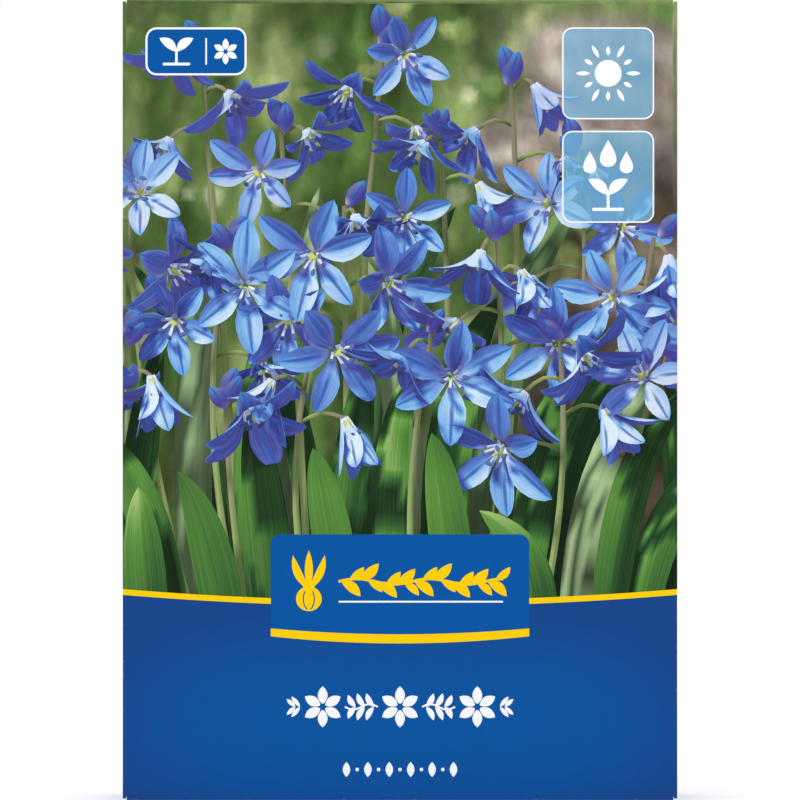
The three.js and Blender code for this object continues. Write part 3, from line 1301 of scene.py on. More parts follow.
def smooth_step(low: float, high: float, value: Array) -> Array:
    """Returns a smooth ramp of value, from 0 at low to 1 at high, which may be the lower."""
    share = np.clip((value - low) / (high - low), 0, 1)
    return share * share * (3 - 2 * share)


def dye(red: int, green: int, blue: int) -> Array:
    """Returns a printed colour's linear red, green and blue, from values of 0 to 255."""
    return np.array(printed(red, green, blue)[:3])


@dataclass
class Wash:
    """Colour laid wet over points of the sheet."""

    points: Array  # one row of s and t for each
    colour: Array  # one row of linear red, green and blue for each

    def dab(self, at: Point, size: Point, lean: float, tint: Array, strength: float,
            firm: float = 3) -> None:
        """Lays one soft stroke over the colours.

        Args:
            at: Its middle.
            size: Its half width and half length.
            lean: Its lean, in radians.
            tint: Its colour.
            strength: How well it covers.
            firm: How sharply it ends.
        """
        ds, dt = (self.points - np.array(at)).T
        across = (ds * cos(lean) - dt * sin(lean)) / size[0]
        along = (ds * sin(lean) + dt * cos(lean)) / size[1]
        cover = (strength * np.exp(-0.5 * (across**2 + along**2) ** (firm / 2)))[:, None]
        self.colour = self.colour * (1 - cover) + tint * cover


@dataclass(frozen=True)
class Garden:
    """The blurred garden behind the posy, in soft strokes of colour."""

    pitch: float = 1.35  # between the points that carry its colour
    foot: float = 45.0  # lowest of those points
    strokes: int = 520  # blades and dapples
    glints: int = 150  # points of sun
    pebbles: int = 70  # dapples on each rock
    seed: int = 5
    scatter_seed: int = 3  # of the points

    GREENS = ((104, 132, 72), (132, 152, 92), (80, 110, 52), (54, 80, 36), (156, 172, 112), (90, 124, 60))
    BROWNS = ((92, 78, 62), (70, 58, 46), (120, 104, 86), (52, 44, 36), (140, 124, 106), (164, 148, 130))
    STONES = (
        (184, 168, 154), (150, 134, 120), (206, 196, 184), (112, 100, 90), (168, 158, 150), (92, 84, 76),
    )
    GLINTS = ((206, 214, 142), (182, 202, 118), (224, 230, 186), (158, 184, 104))
    # Rocks: the middle, the half width and half height, and the lean of each.
    ROCKS = (((34, 165), (14, 9), -0.2), ((82, 174), (24, 17), -0.35), ((60, 180), (28, 16), 0.25))

    def grid(self, sheet: Sheet) -> list[Point]:
        """Scatters the points that carry its colour.

        Args:
            sheet: The sheet.

        Returns:
            The points, over the front, the sides and the top.
        """
        left = sheet.left.start
        across = round((sheet.right.end - left) / self.pitch)
        up = round((sheet.top - self.foot) / self.pitch)
        nudge = random.Random(self.scatter_seed).uniform
        cells = [(column, row) for row in range(up) for column in range(across)]
        return [(left + (c + nudge(0.3, 0.7)) * self.pitch, self.foot + (r + nudge(0.3, 0.7)) * self.pitch)
                for c, r in cells]

    def colours(self, points: Array) -> Array:
        """Finds the garden's colour at points of the sheet.

        Args:
            points: One row of s and t for each.

        Returns:
            One row of linear red, green and blue for each.
        """
        pick = random.Random(self.seed)
        s, t = points.T
        soil = (smooth_step(14, 44, s - 0.12 * (t - 100)) * smooth_step(172, 150, t))[:, None]
        base = dye(78, 104, 52) * (1 - soil) + dye(84, 70, 58) * soil
        wash = Wash(points, base * (0.4 + 0.6 * smooth_step(70, 120, t))[:, None])
        for _ in range(self.strokes):
            at = (pick.uniform(-104, 104), pick.uniform(48, 238))
            earth = at[0] - 0.12 * (at[1] - 100) > pick.gauss(26, 9) and at[1] < pick.gauss(160, 6)
            tint = pick.choice(self.BROWNS if earth else self.GREENS)
            bright = pick.choice((0.15, 0.35, 0.6, 1.0, 1.5))
            bright *= 0.4 + 0.6 * min(max((at[1] - 60) / 60, 0), 1)
            wide, tall = ((2.2, 6.5), (1.8, 4.0)) if earth else ((1.5, 3.6), (2.5, 14))
            size = (pick.uniform(*wide), pick.uniform(*tall))
            wash.dab(at, size, pick.gauss(0, 0.35), dye(*tint) * bright, pick.uniform(0.4, 0.9))
        for _ in range(self.glints):
            at = (pick.uniform(-104, 60), pick.uniform(110, 236))
            size = pick.uniform(1.2, 3.2)
            wash.dab(at, (size, size), 0.0, dye(*pick.choice(self.GLINTS)), pick.uniform(0.1, 0.55), 6)
        for rock in self.ROCKS:
            self.lay_rock(wash, pick, *rock)
        return wash.colour

    def lay_rock(self, wash: Wash, pick: random.Random, middle: Point, half: Point, lean: float) -> None:
        """Lays a rock with its shade, its lit top and its dapples.

        Args:
            wash: The colours it is laid over.
            pick: Picks its dapples.
            middle: Its middle.
            half: Its half width and half height.
            lean: Its lean, in radians.
        """
        (s, t), (wide, tall) = middle, half
        wash.dab((s, t - 3), half, lean, dye(40, 34, 30), 0.9, 6)
        wash.dab(middle, half, lean, dye(128, 118, 110), 0.97, 10)
        wash.dab((s - 0.2 * wide, t + 0.35 * tall), (0.7 * wide, 0.45 * tall), lean, dye(190, 178, 164), 0.8)
        for _ in range(self.pebbles):
            spot = (s + pick.uniform(-0.8, 0.8) * wide, t + pick.uniform(-0.75, 0.75) * tall)
            tint = dye(*pick.choice(self.STONES))
            wash.dab(spot, (pick.uniform(2, 7), pick.uniform(1.3, 3)), lean, tint, pick.uniform(0.3, 0.8))


# ---- The print ----


class Cut:
    """The flat sheet, cut into triangles."""

    SLACK = 1e-4  # points closer than this are one, in millimetres
    STRAIGHT = 1e-3  # a point nearer than this to the line past it is left out

    def __init__(self, sheet: Sheet, points: list, edges: Edges) -> None:
        """Cuts the sheet along edges and its creases, and drops what lies off it.

        Args:
            sheet: The sheet.
            points: Points that start with their s and t.
            edges: The edges between them.
        """
        points, edges = [Vector(point[:2]) for point in points], list(edges)
        for line in sheet.crease_lines():
            edges.append((len(points), len(points) + 1))
            points += [Vector(end) for end in line]
        spots, _, faces, sources, _, _ = delaunay_2d_cdt(points, edges, [], 0, self.SLACK, True)
        spots, faces = np.array([tuple(spot) for spot in spots]), np.array(faces)
        walls = sheet.walls_at(self.probes(spots[faces]))
        used, faces = np.unique(faces[walls >= 0], return_inverse=True)
        self.sheet, self.walls, self.faces = sheet, walls[walls >= 0], faces.reshape(-1, 3)
        self.spots, self.sources = spots[used], [sources[i] for i in used]

    def probes(self, corners: Array) -> Array:
        """Picks the points that tell where triangles lie.

        Args:
            corners: The triangles' corners.

        Returns:
            Each triangle's middle, or for one as thin as a line a point just past its longest side.
        """
        sides = np.roll(corners, -1, axis=1) - corners
        lengths = np.linalg.norm(sides, axis=2)
        longest = np.arange(len(corners)), lengths.argmax(axis=1)
        side, length = sides[longest], lengths[longest][:, None]
        past = corners[longest] + side / 2 + self.SLACK / length * side[:, ::-1] * (1, -1)
        twice = np.abs(sides[:, 0, 0] * sides[:, 1, 1] - sides[:, 0, 1] * sides[:, 1, 0])[:, None]
        return np.where(twice < length * self.SLACK / 10, past, corners.mean(axis=1))

    @property
    def middles(self) -> Array:
        """The triangles' middles."""
        return self.spots[self.faces].mean(axis=1)

    def borders(self, looks: list) -> Edges:
        """Finds the sides where a triangle ends the sheet or meets one that looks different.

        Args:
            looks: The look of each triangle.

        Returns:
            The sides.
        """
        faces = enumerate(self.faces.tolist())
        look = {side: looks[i] for i, (a, b, c) in faces for side in ((a, b), (b, c), (c, a))}
        return [side for side, shown in look.items() if look.get(side[::-1]) != shown]

    def straightened(self, edges: Edges) -> Edges:
        """Leaves out the points on a straight line between their only two neighbours.

        Args:
            edges: The edges.

        Returns:
            The edges that are left.
        """
        near: dict[int, set[int]] = {}
        for a, b in edges:
            near.setdefault(a, set()).add(b)
            near.setdefault(b, set()).add(a)
        for spot in sorted(near):
            if len(near[spot]) != 2:
                continue
            before, after = sorted(near[spot])
            (ds, dt), (off_s, off_t) = self.spots[[after, spot]] - self.spots[before]
            bend = abs(ds * off_t - dt * off_s)
            if bend < self.STRAIGHT * hypot(ds, dt) and after not in near[before]:
                near[before] ^= {spot, after}
                near[after] ^= {spot, before}
                del near[spot]
        return sorted((a, b) for a, others in near.items() for b in others if a < b)

    def again(self, edges: Edges, loose: list[Point] = ()) -> tuple["Cut", dict[int, int]]:
        """Cuts the sheet anew, along some of the edges alone.

        Args:
            edges: The edges.
            loose: Further points.

        Returns:
            The new cut, and the number there of each point of the edges.
        """
        ends = sorted({i for edge in edges for i in edge})
        number = {old: new for new, old in enumerate(ends)}
        cut = Cut(self.sheet, [*self.spots[ends], *loose], [(number[a], number[b]) for a, b in edges])
        twins = ((old, new) for new, olds in enumerate(cut.sources) for old in olds if old < len(ends))
        return cut, {ends[old]: new for old, new in twins}

    def folded(self, depth: float) -> list[Vector]:
        """Finds where each point comes in the folded sheet.

        Args:
            depth: How far below the printed face, in millimetres.

        Returns:
            The places, in the frame's metres.
        """
        wall_of = np.zeros(len(self.spots), dtype=int)
        wall_of[self.faces.ravel()] = np.repeat(self.walls, 3)
        walls = [self.sheet.regions[i] for i in wall_of]
        return [wall.fold_up(*spot, depth) * MM for wall, spot in zip(walls, self.spots.tolist())]


@dataclass
class Plate:
    """Every shape printed on the flat sheet, hidden ones too."""

    sheet: Sheet
    garden: Garden
    bottom: float = 1000.0  # depth of the bare board
    level: float = -1000.0  # depth of the last shape that was stamped
    sliver: float = 2e-3  # twice the area of the smallest triangle that is laid

    def __post_init__(self) -> None:
        """Starts with the board and its holes."""
        self.points: list[tuple[float, float, float]] = []  # s, t and depth
        self.faces: list[list[int]] = []
        self.inks: list[Ink] = []
        self.slopes: list[Array] = []  # how a shape's marks depend on s, t and 1
        self.limits: list[Array] = []  # how low and how high they go
        self.veils: list[int] = []  # numbers of the see-through shapes
        for outline in [region.outline() for region in self.sheet.regions] + self.sheet.holes:
            self.lay(outline, Ink.BARE, self.bottom)

    def lay(self, outline: Shape, ink: Ink, depth: float) -> None:
        """Lays a flat shape.

        Args:
            outline: Its outline.
            ink: Its ink.
            depth: How deep it lies.
        """
        self.faces.append(list(range(len(self.points), len(self.points) + len(outline))))
        self.points += [(*point, depth) for point in outline]
        self.inks.append(ink)
        self.slopes.append(np.zeros((3, 5)))
        self.limits.append(np.zeros((2, 5)))

    def stamp(self, ink: Ink, *outlines: Shape) -> None:
        """Lays flat shapes over everything laid so far, one after another.

        Args:
            ink: Their ink.
            *outlines: Their outlines.
        """
        for outline in outlines:
            self.level -= 1
            self.lay(outline, ink, self.level)

    def veil(self, outline: Shape) -> None:
        """Lays a see-through shape over everything laid so far."""
        self.veils.append(len(self.faces))
        self.stamp(Ink.BARE, outline)

    def lay_skin(self, skin: Patch, cells: list[tuple[int, int, int, int]], light: Array) -> None:
        """Lays a skin of the posy.

        Args:
            skin: The skin.
            cells: Those of its cells that are laid.
            light: The light at each of its points.
        """
        first, marks = len(self.points), skin.marks(light)
        points = skin.points.reshape(-1, 3)[:, [ACROSS, UP, AWAY]]
        self.points += [tuple(point) for point in points]
        for a, b, c, d in cells:
            for triangle in ([a, b, c], [a, c, d]):
                corners = np.column_stack([points[triangle, :2], np.ones(3)])
                if abs(np.linalg.det(corners)) > self.sliver:
                    self.faces.append([first + i for i in triangle])
                    self.inks.append(skin.ink)
                    self.slopes.append(np.linalg.solve(corners, marks[triangle]))
                    self.limits.append(np.array([marks[triangle].min(axis=0), marks[triangle].max(axis=0)]))

    def top_at(self, spot: Point) -> tuple[int, int]:
        """Finds the shape that shows at a point.

        Args:
            spot: The point.

        Returns:
            The shape's number, and 1 if a veil lies over it or else 0.
        """
        start, veiled = Vector((*spot, 4 * self.level)), 0
        while True:
            place, _, number, _ = self.tree.ray_cast(start, Vector((0, 0, 1)))
            if number not in self.veils:
                return number or 0, veiled
            start, veiled = place + Vector((0, 0, 0.1)), 1

    def press(self) -> "Print":
        """Cuts the sheet along every outline, and anew along the edges that show.

        Returns:
            The print.
        """
        self.tree = BVHTree.FromPolygons(self.points, self.faces)
        outlines = [edge for face in self.faces for edge in zip(face, face[1:] + face[:1])]
        rough = Cut(self.sheet, self.points, outlines)
        edges = rough.straightened(rough.borders([self.top_at(spot) for spot in rough.middles]))
        grid = self.garden.grid(self.sheet)
        grid = [spot for spot in grid if self.inks[self.top_at(spot)[0]] is Ink.GARDEN]
        cut, _ = rough.again(edges, grid)
        tops, veiled = np.array([self.top_at(spot) for spot in cut.middles]).T
        corners = np.concatenate([cut.spots[cut.faces], np.ones((*cut.faces.shape, 1))], axis=2)
        marks = np.einsum("fcj,fjk->fck", corners, np.array(self.slopes)[tops])
        limits = np.array(self.limits)[tops]
        marks = np.clip(marks, limits[:, :1], limits[:, 1:])
        tone = np.concatenate([marks[..., 2:], np.repeat(veiled, 3).reshape(-1, 3, 1)], axis=2)
        inks = np.array([self.inks[i].value for i in tops])
        garden = inks == Ink.GARDEN.value
        used, back = np.unique(cut.faces[garden], return_inverse=True)
        tone[garden, :, :3] = self.garden.colours(cut.spots[used])[back.ravel()].reshape(-1, 3, 3)
        return Print(cut, inks, marks[..., :2], tone)


@dataclass
class Print:
    """The pressed sheet, still flat."""

    cut: Cut
    inks: Array  # ink of each triangle
    places: Array  # place across and along at each triangle's corners
    tone: Array  # light, hue, seed and veil at each triangle's corners

    def folded(self) -> Mesh:
        """Folds the packet.

        Returns:
            Its mesh, with its bare inside and its cut edges.
        """
        front, first = self.cut, len(self.cut.spots)
        rim = front.borders([0] * len(front.faces))
        back, twin = front.again(rim)
        lining = (first + back.faces[:, ::-1]).tolist()
        edge = [(end, start, first + twin[start], first + twin[end]) for start, end in rim]
        mesh = bpy.data.meshes.new("carton_sheet")
        places = front.folded(0.0) + back.folded(front.sheet.board.thick)
        mesh.from_pydata(places, [], [*front.faces.tolist(), *lining, *edge])
        slots = [*self.inks.tolist(), *[Ink.BARE.value] * len(lining), *[Ink.CUT_EDGE.value] * len(edge)]
        mesh.polygons.foreach_set("material_index", slots)
        rest = ((0, len(mesh.loops) - 3 * len(front.faces)), (0, 0))  # only the printed side has marks
        marks = np.pad(self.places.reshape(-1, 2), rest).astype(np.float32)
        mesh.uv_layers.new(name="print").uv.foreach_set("vector", marks.ravel())
        marks = np.pad(self.tone.reshape(-1, 4), rest).astype(np.float32)
        mesh.color_attributes.new("tone", "FLOAT_COLOR", "CORNER").data.foreach_set("color", marks.ravel())
        return mesh


# ---- What is printed ----


@dataclass(frozen=True)
class Pen:
    """Draws on a plate, and knows the figures that come back."""

    plate: Plate
    ink: Ink
    gap: Ink = Ink.BARE  # what shows through in hearts and ribs

    def draw(self, *outlines: Shape) -> None:
        """Fills outlines with the pen's ink."""
        self.plate.stamp(self.ink, *outlines)

    def star(self, centre: Point, radius: float, turn: float = 0.0) -> None:
        """Draws a six-petalled flower.

        Args:
            centre: Its centre.
            radius: Its radius.
            turn: Turns it from where one petal is upright, in radians.
        """
        for i in range(6):
            a = turn + pi / 2 + i * tau / 6
            self.draw(lens(polar(centre, 0.12 * radius, a), polar(centre, radius, a), 0.48 * radius))
        self.plate.stamp(self.gap, disc(centre, 0.16 * radius, 16))

    def bulb(self, foot: Point, height: float) -> None:
        """Draws a bulb with three leaves.

        Args:
            foot: The middle of its base.
            height: Its height with the leaves.
        """
        s, t = foot
        unit = height / 10
        for lean, top, bend in ((-2.6, 9.2, 0.5), (2.6, 9.2, -0.5), (0.0, 10.0, 0.0)):
            tip = (s + lean * unit, t + top * unit)
            self.draw(lens((s, t + 3.6 * unit), tip, 1.35 * unit, bend * unit))
        heart = (s, t + 2.1 * unit)
        self.draw(disc(heart, 2.1 * unit, 30, 0.96))
        self.draw(lens((s, t + 2.4 * unit), (s, t + 5.4 * unit), 1.9 * unit))
        self.ribs(heart, (0.9 * unit, 1.75 * unit), 0.2 * unit)

    def ribs(self, centre: Point, half: Point, width: float) -> None:
        """Draws the two curved ribs of a bulb, in the colour that shows through.

        Args:
            centre: The bulb's centre.
            half: How far they reach to the sides, and up and down.
            width: Their width.
        """
        (s, t), turns = centre, [0.22 + 0.43 * i for i in range(6)]
        for side in (-1, 1):
            rib = [(s + side * half[0] * sin(a), t - half[1] * cos(a)) for a in turns]
            self.plate.stamp(self.gap, stroke(rib, width))

    def sprout(self, foot: Point, height: float) -> None:
        """Draws a seedling with two leaves on a low mound.

        Args:
            foot: The middle of its base.
            height: Its height.
        """
        s, t = foot
        self.draw(stroke([foot, (s, t + 0.62 * height)], 0.09 * height))
        for side in (-1, 1):
            tip = (s + side * 0.62 * height, t + height)
            self.draw(lens((s, t + 0.5 * height), tip, 0.34 * height, 0.07 * height * side))
        self.draw(rounded((s - 0.5 * height, t), (s + 0.5 * height, t + 0.1 * height), 0.04 * height))

    def garland(self, start: Point, length: float) -> None:
        """Draws a wavy twig with nine pairs of leaves.

        Args:
            start: Its left end.
            length: Its length.
        """

        def wave(share: float) -> Point:
            """Returns the twig's point at a share of its length."""
            return (start[0] + length * share, start[1] + 0.7 * sin(share * tau * 2.25))

        steps, pairs = 36, 9
        self.draw(stroke([wave(i / steps) for i in range(steps + 1)], 0.7))
        for i in range(pairs):
            side = 1 if i % 2 else -1
            for at, reach, rise, width, bend in ((0.15, 1.05, 3.9, 2.6, -0.5), (0.6, 0.8, -3.1, 2.0, 0.4)):
                foot = wave((i + at) / pairs)
                tip = (foot[0] + reach * length / pairs, foot[1] + side * rise)
                self.draw(lens(foot, tip, width, side * bend))


@dataclass(frozen=True)
class Motif:
    """A part of the print, with the plate that it goes on."""

    plate: Plate

    def pen(self, ink: Ink, gap: Ink = Ink.BARE) -> Pen:
        """Takes up a pen."""
        return Pen(self.plate, ink, gap)


@dataclass(frozen=True)
class Picture(Motif):
    """The garden and the posy, over the front, the sides and the top."""

    foot: float = 47.4  # where it starts, behind the yellow line
    bleed: float = 3.0  # how far it runs past the top fold of the sides
    past: float = 1.0  # how far it runs past a cut edge
    behind: float = 900.0  # depth of the garden, behind all of the posy

    def print(self) -> None:
        """Prints it."""
        sheet = self.plate.sheet
        front, shoulder = sheet.front, sheet.front.creases[1] + self.bleed
        around = block((sheet.left.start, self.foot), (sheet.right.end, shoulder))
        low = (front.start - self.past, shoulder - self.past)
        over = block(low, (front.end + self.past, sheet.top + self.past))
        self.plate.lay(around, Ink.GARDEN, self.behind)
        self.plate.lay(over, Ink.GARDEN, self.behind + 1)
        daylight = Daylight(Posy())
        for patch in daylight.posy.patches:
            cells = daylight.seen(patch)
            if cells:
                self.plate.lay_skin(patch, cells, daylight.on(patch))


@dataclass(frozen=True)
class Ground(Motif):
    """The blue under the picture and on the back, and the yellow line round the packet."""

    bow: Curve = Curve(50.4, 5.93e-4)  # the line's upper edge on the front and the sides
    line: float = 1.45  # its thickness
    bleed: float = 3.0  # how far the print runs past a fold
    past: float = 1.0  # how far it runs past a cut edge
    steps: int = 60  # straight steps of the line

    def print(self) -> None:
        """Prints the front with the sides, and then the back and the strip under its seam."""
        stamp, sheet = self.plate.stamp, self.plate.sheet
        left, right = sheet.left.start, sheet.right.end
        under = Curve(self.bow.level - self.line, self.bow.rise)
        floor = Curve(sheet.front.creases[0] - sheet.front.flap - self.past)
        stamp(Ink.PANEL_BLUE, strip(floor, under, left, right, self.steps))
        stamp(Ink.YELLOW, strip(under, self.bow, left, right, self.steps))
        foot, crown = sheet.back.creases[0] - self.bleed, sheet.back.creases[1] + self.bleed
        glued, level = left - sheet.board.arc - self.bleed, self.bow(right)
        for start, end in ((right, sheet.back.end + self.past), (glued, left)):
            stamp(Ink.PANEL_BLUE, block((start, foot), (end, crown)))
            stamp(Ink.YELLOW, block((start, level - self.line), (end, level)))


@dataclass(frozen=True)
class Plaque(Motif):
    """The blue plaque in the middle of the front: a bulb and a garland, over a yellow foot."""

    half: float = 32.6  # half its width
    top: float = 67.1
    corner: float = 2.5
    under: Curve = Curve(39.6, 1.7e-3)  # lower edge of the yellow foot
    over: Curve = Curve(41.9, 1.4e-3)  # its upper edge
    lap: float = 1.0  # how far the blue runs in under the yellow
    bulb_foot: Point = (-23.0, 47.6)
    bulb_height: float = 15.5
    garland: Point = (-15.5, 55.2)  # its left end
    garland_length: float = 41.5
    rule: tuple[Point, Point] = ((-15.5, 49.9), (26.0, 50.35))  # the thin white line under it

    def print(self) -> None:
        """Prints it."""
        stamp, half, ends = self.plate.stamp, self.half, self.over(self.half)
        stamp(Ink.LABEL_BLUE, rounded((-half, ends), (half, self.top), self.corner, square_foot=True))
        stamp(Ink.LABEL_BLUE, strip(Curve(self.over.level - self.lap), Curve(ends + 0.01), -half, half))
        stamp(Ink.YELLOW, strip(self.under, self.over, -half, half))
        pen = self.pen(Ink.YELLOW, Ink.LABEL_BLUE)
        pen.bulb(self.bulb_foot, self.bulb_height)
        pen.garland(self.garland, self.garland_length)
        stamp(Ink.WHITE, rounded(*self.rule, 0.2))


@dataclass(frozen=True)
class Ornament(Motif):
    """The white ornament of the lower panel: flowers, twigs and leaves in a row, over a row of beads."""

    level: float = 23.6  # of the flowers
    radius: float = 5.2  # of a flower
    spacing: float = 19.5  # from one flower to the next
    twig: float = 5.6  # where a twig starts, from the middle
    twig_length: float = 8.3
    twig_steps: int = 8
    bead_level: float = 7.8
    bead_spacing: float = 2.7
    beads: int = 5  # on each side of the middle one
    round_bead: float = 0.45  # radius of a round bead
    long_bead: float = 1.9  # half length and width of a pointed one
    # Leaves, from the middle outwards: place of the foot, length, rise, width and bend.
    LEAVES = (
        (6.6, 1.9, 3.4, 1.5, -0.3), (8.9, 1.9, 3.4, 1.5, -0.3), (11.2, 1.9, 3.0, 1.5, -0.3),
        (25.2, 2.2, 2.6, 1.1, 0.0), (26.4, 2.2, 2.0, 1.1, 0.0),
    )

    def print(self) -> None:
        """Prints it."""
        pen = self.pen(Ink.WHITE, Ink.PANEL_BLUE)
        for place in (-1, 0, 1):
            pen.star((place * self.spacing, self.level), self.radius)
        for side in (-1, 1):
            shares = [i / self.twig_steps for i in range(self.twig_steps + 1)[::side]]
            wave = [(self.twig + self.twig_length * a, 0.7 * sin(tau * a)) for a in shares]
            pen.draw(stroke([(side * s, self.level + t) for s, t in wave], 0.45))
            for foot, length, rise, width, bend in self.LEAVES:
                for up in (-1, 1):
                    tip = (side * (foot + length), self.level + up * rise)
                    pen.draw(lens((side * foot, self.level), tip, width, side * up * bend))
        for i in range(-self.beads, self.beads + 1):
            s, t, long = self.bead_spacing * i, self.bead_level, self.long_bead
            if (i + self.beads) % 2:
                pen.draw(disc((s, t), self.round_bead, 14))
            else:
                pen.draw(lens((s, t - long), (s, t + long), long))


@dataclass(frozen=True)
class Badge(Motif):
    """The small blue badge at the top left, with a sprout and a flower."""

    low: Point = (-64.2, 182.9)
    high: Point = (-38.7, 195.0)
    corner: float = 2.8
    rim: float = 0.5  # width of its white edge
    divider: tuple[Point, Point] = ((-49.1, 185.6), (-48.7, 192.3))
    sprout_foot: Point = (-56.4, 185.4)
    sprout_height: float = 6.9
    flower: Point = (-44.0, 188.9)
    flower_radius: float = 3.3

    def print(self) -> None:
        """Prints it."""
        pen = self.pen(Ink.WHITE, Ink.LABEL_BLUE)
        pen.draw(rounded(self.low, self.high, self.corner))
        self.plate.stamp(Ink.LABEL_BLUE, rounded(self.low, self.high, self.corner, self.rim))
        pen.draw(rounded(*self.divider, 0.15))
        pen.sprout(self.sprout_foot, self.sprout_height)
        pen.star(self.flower, self.flower_radius)


@dataclass(frozen=True)
class CareLabels(Motif):
    """The two see-through labels at the top right: sun, and water."""

    left: float = 40.9
    feet: Point = (171.8, 145.7)
    side: float = 23.2
    corner: float = 2.6
    rim: float = 0.36  # width of their white edge
    sun_radius: float = 3.4
    ray_start: float = 4.5  # from the sun's centre
    ray_ends: Point = (8.2, 6.9)  # of the long and the short rays
    ray_width: float = 1.1
    # Drops: their place from the label's centre, to the right and up, and their radius.
    drops: tuple[tuple[float, float, float], ...] = ((-4.6, 2.6, 1.7), (0.0, 4.6, 2.1), (4.6, 2.6, 1.7))
    sprout_foot: float = -8.6  # from the label's centre
    sprout_height: float = 8.0

    def print(self) -> None:
        """Prints them, each with its edge round its veil."""
        pen = self.pen(Ink.WHITE)
        for foot, figure in zip(self.feet, (self.sun, self.water)):
            low, high = (self.left, foot), (self.left + self.side, foot + self.side)
            outer, inner = rounded(low, high, self.corner), rounded(low, high, self.corner, self.rim)
            for i in range(len(outer)):
                pen.draw([outer[i - 1], outer[i], inner[i], inner[i - 1]])
            self.plate.veil(inner)
            figure(pen, (self.left + self.side / 2, foot + self.side / 2))

    def sun(self, pen: Pen, centre: Point) -> None:
        """Draws a sun with long and short rays by turns.

        Args:
            pen: The pen.
            centre: The label's centre.
        """
        pen.draw(disc(centre, self.sun_radius, 36))
        for i in range(12):
            a = i * tau / 12
            end = polar(centre, self.ray_ends[i % 2], a)
            pen.draw(lens(polar(centre, self.ray_start, a), end, self.ray_width))

    def water(self, pen: Pen, centre: Point) -> None:
        """Draws three drops over a leafy sprout.

        Args:
            pen: The pen.
            centre: The label's centre.
        """
        s, t = centre
        for aside, up, radius in self.drops:
            pen.draw(drop((s + aside, t + up), radius))
        pen.sprout((s, t + self.sprout_foot), self.sprout_height)


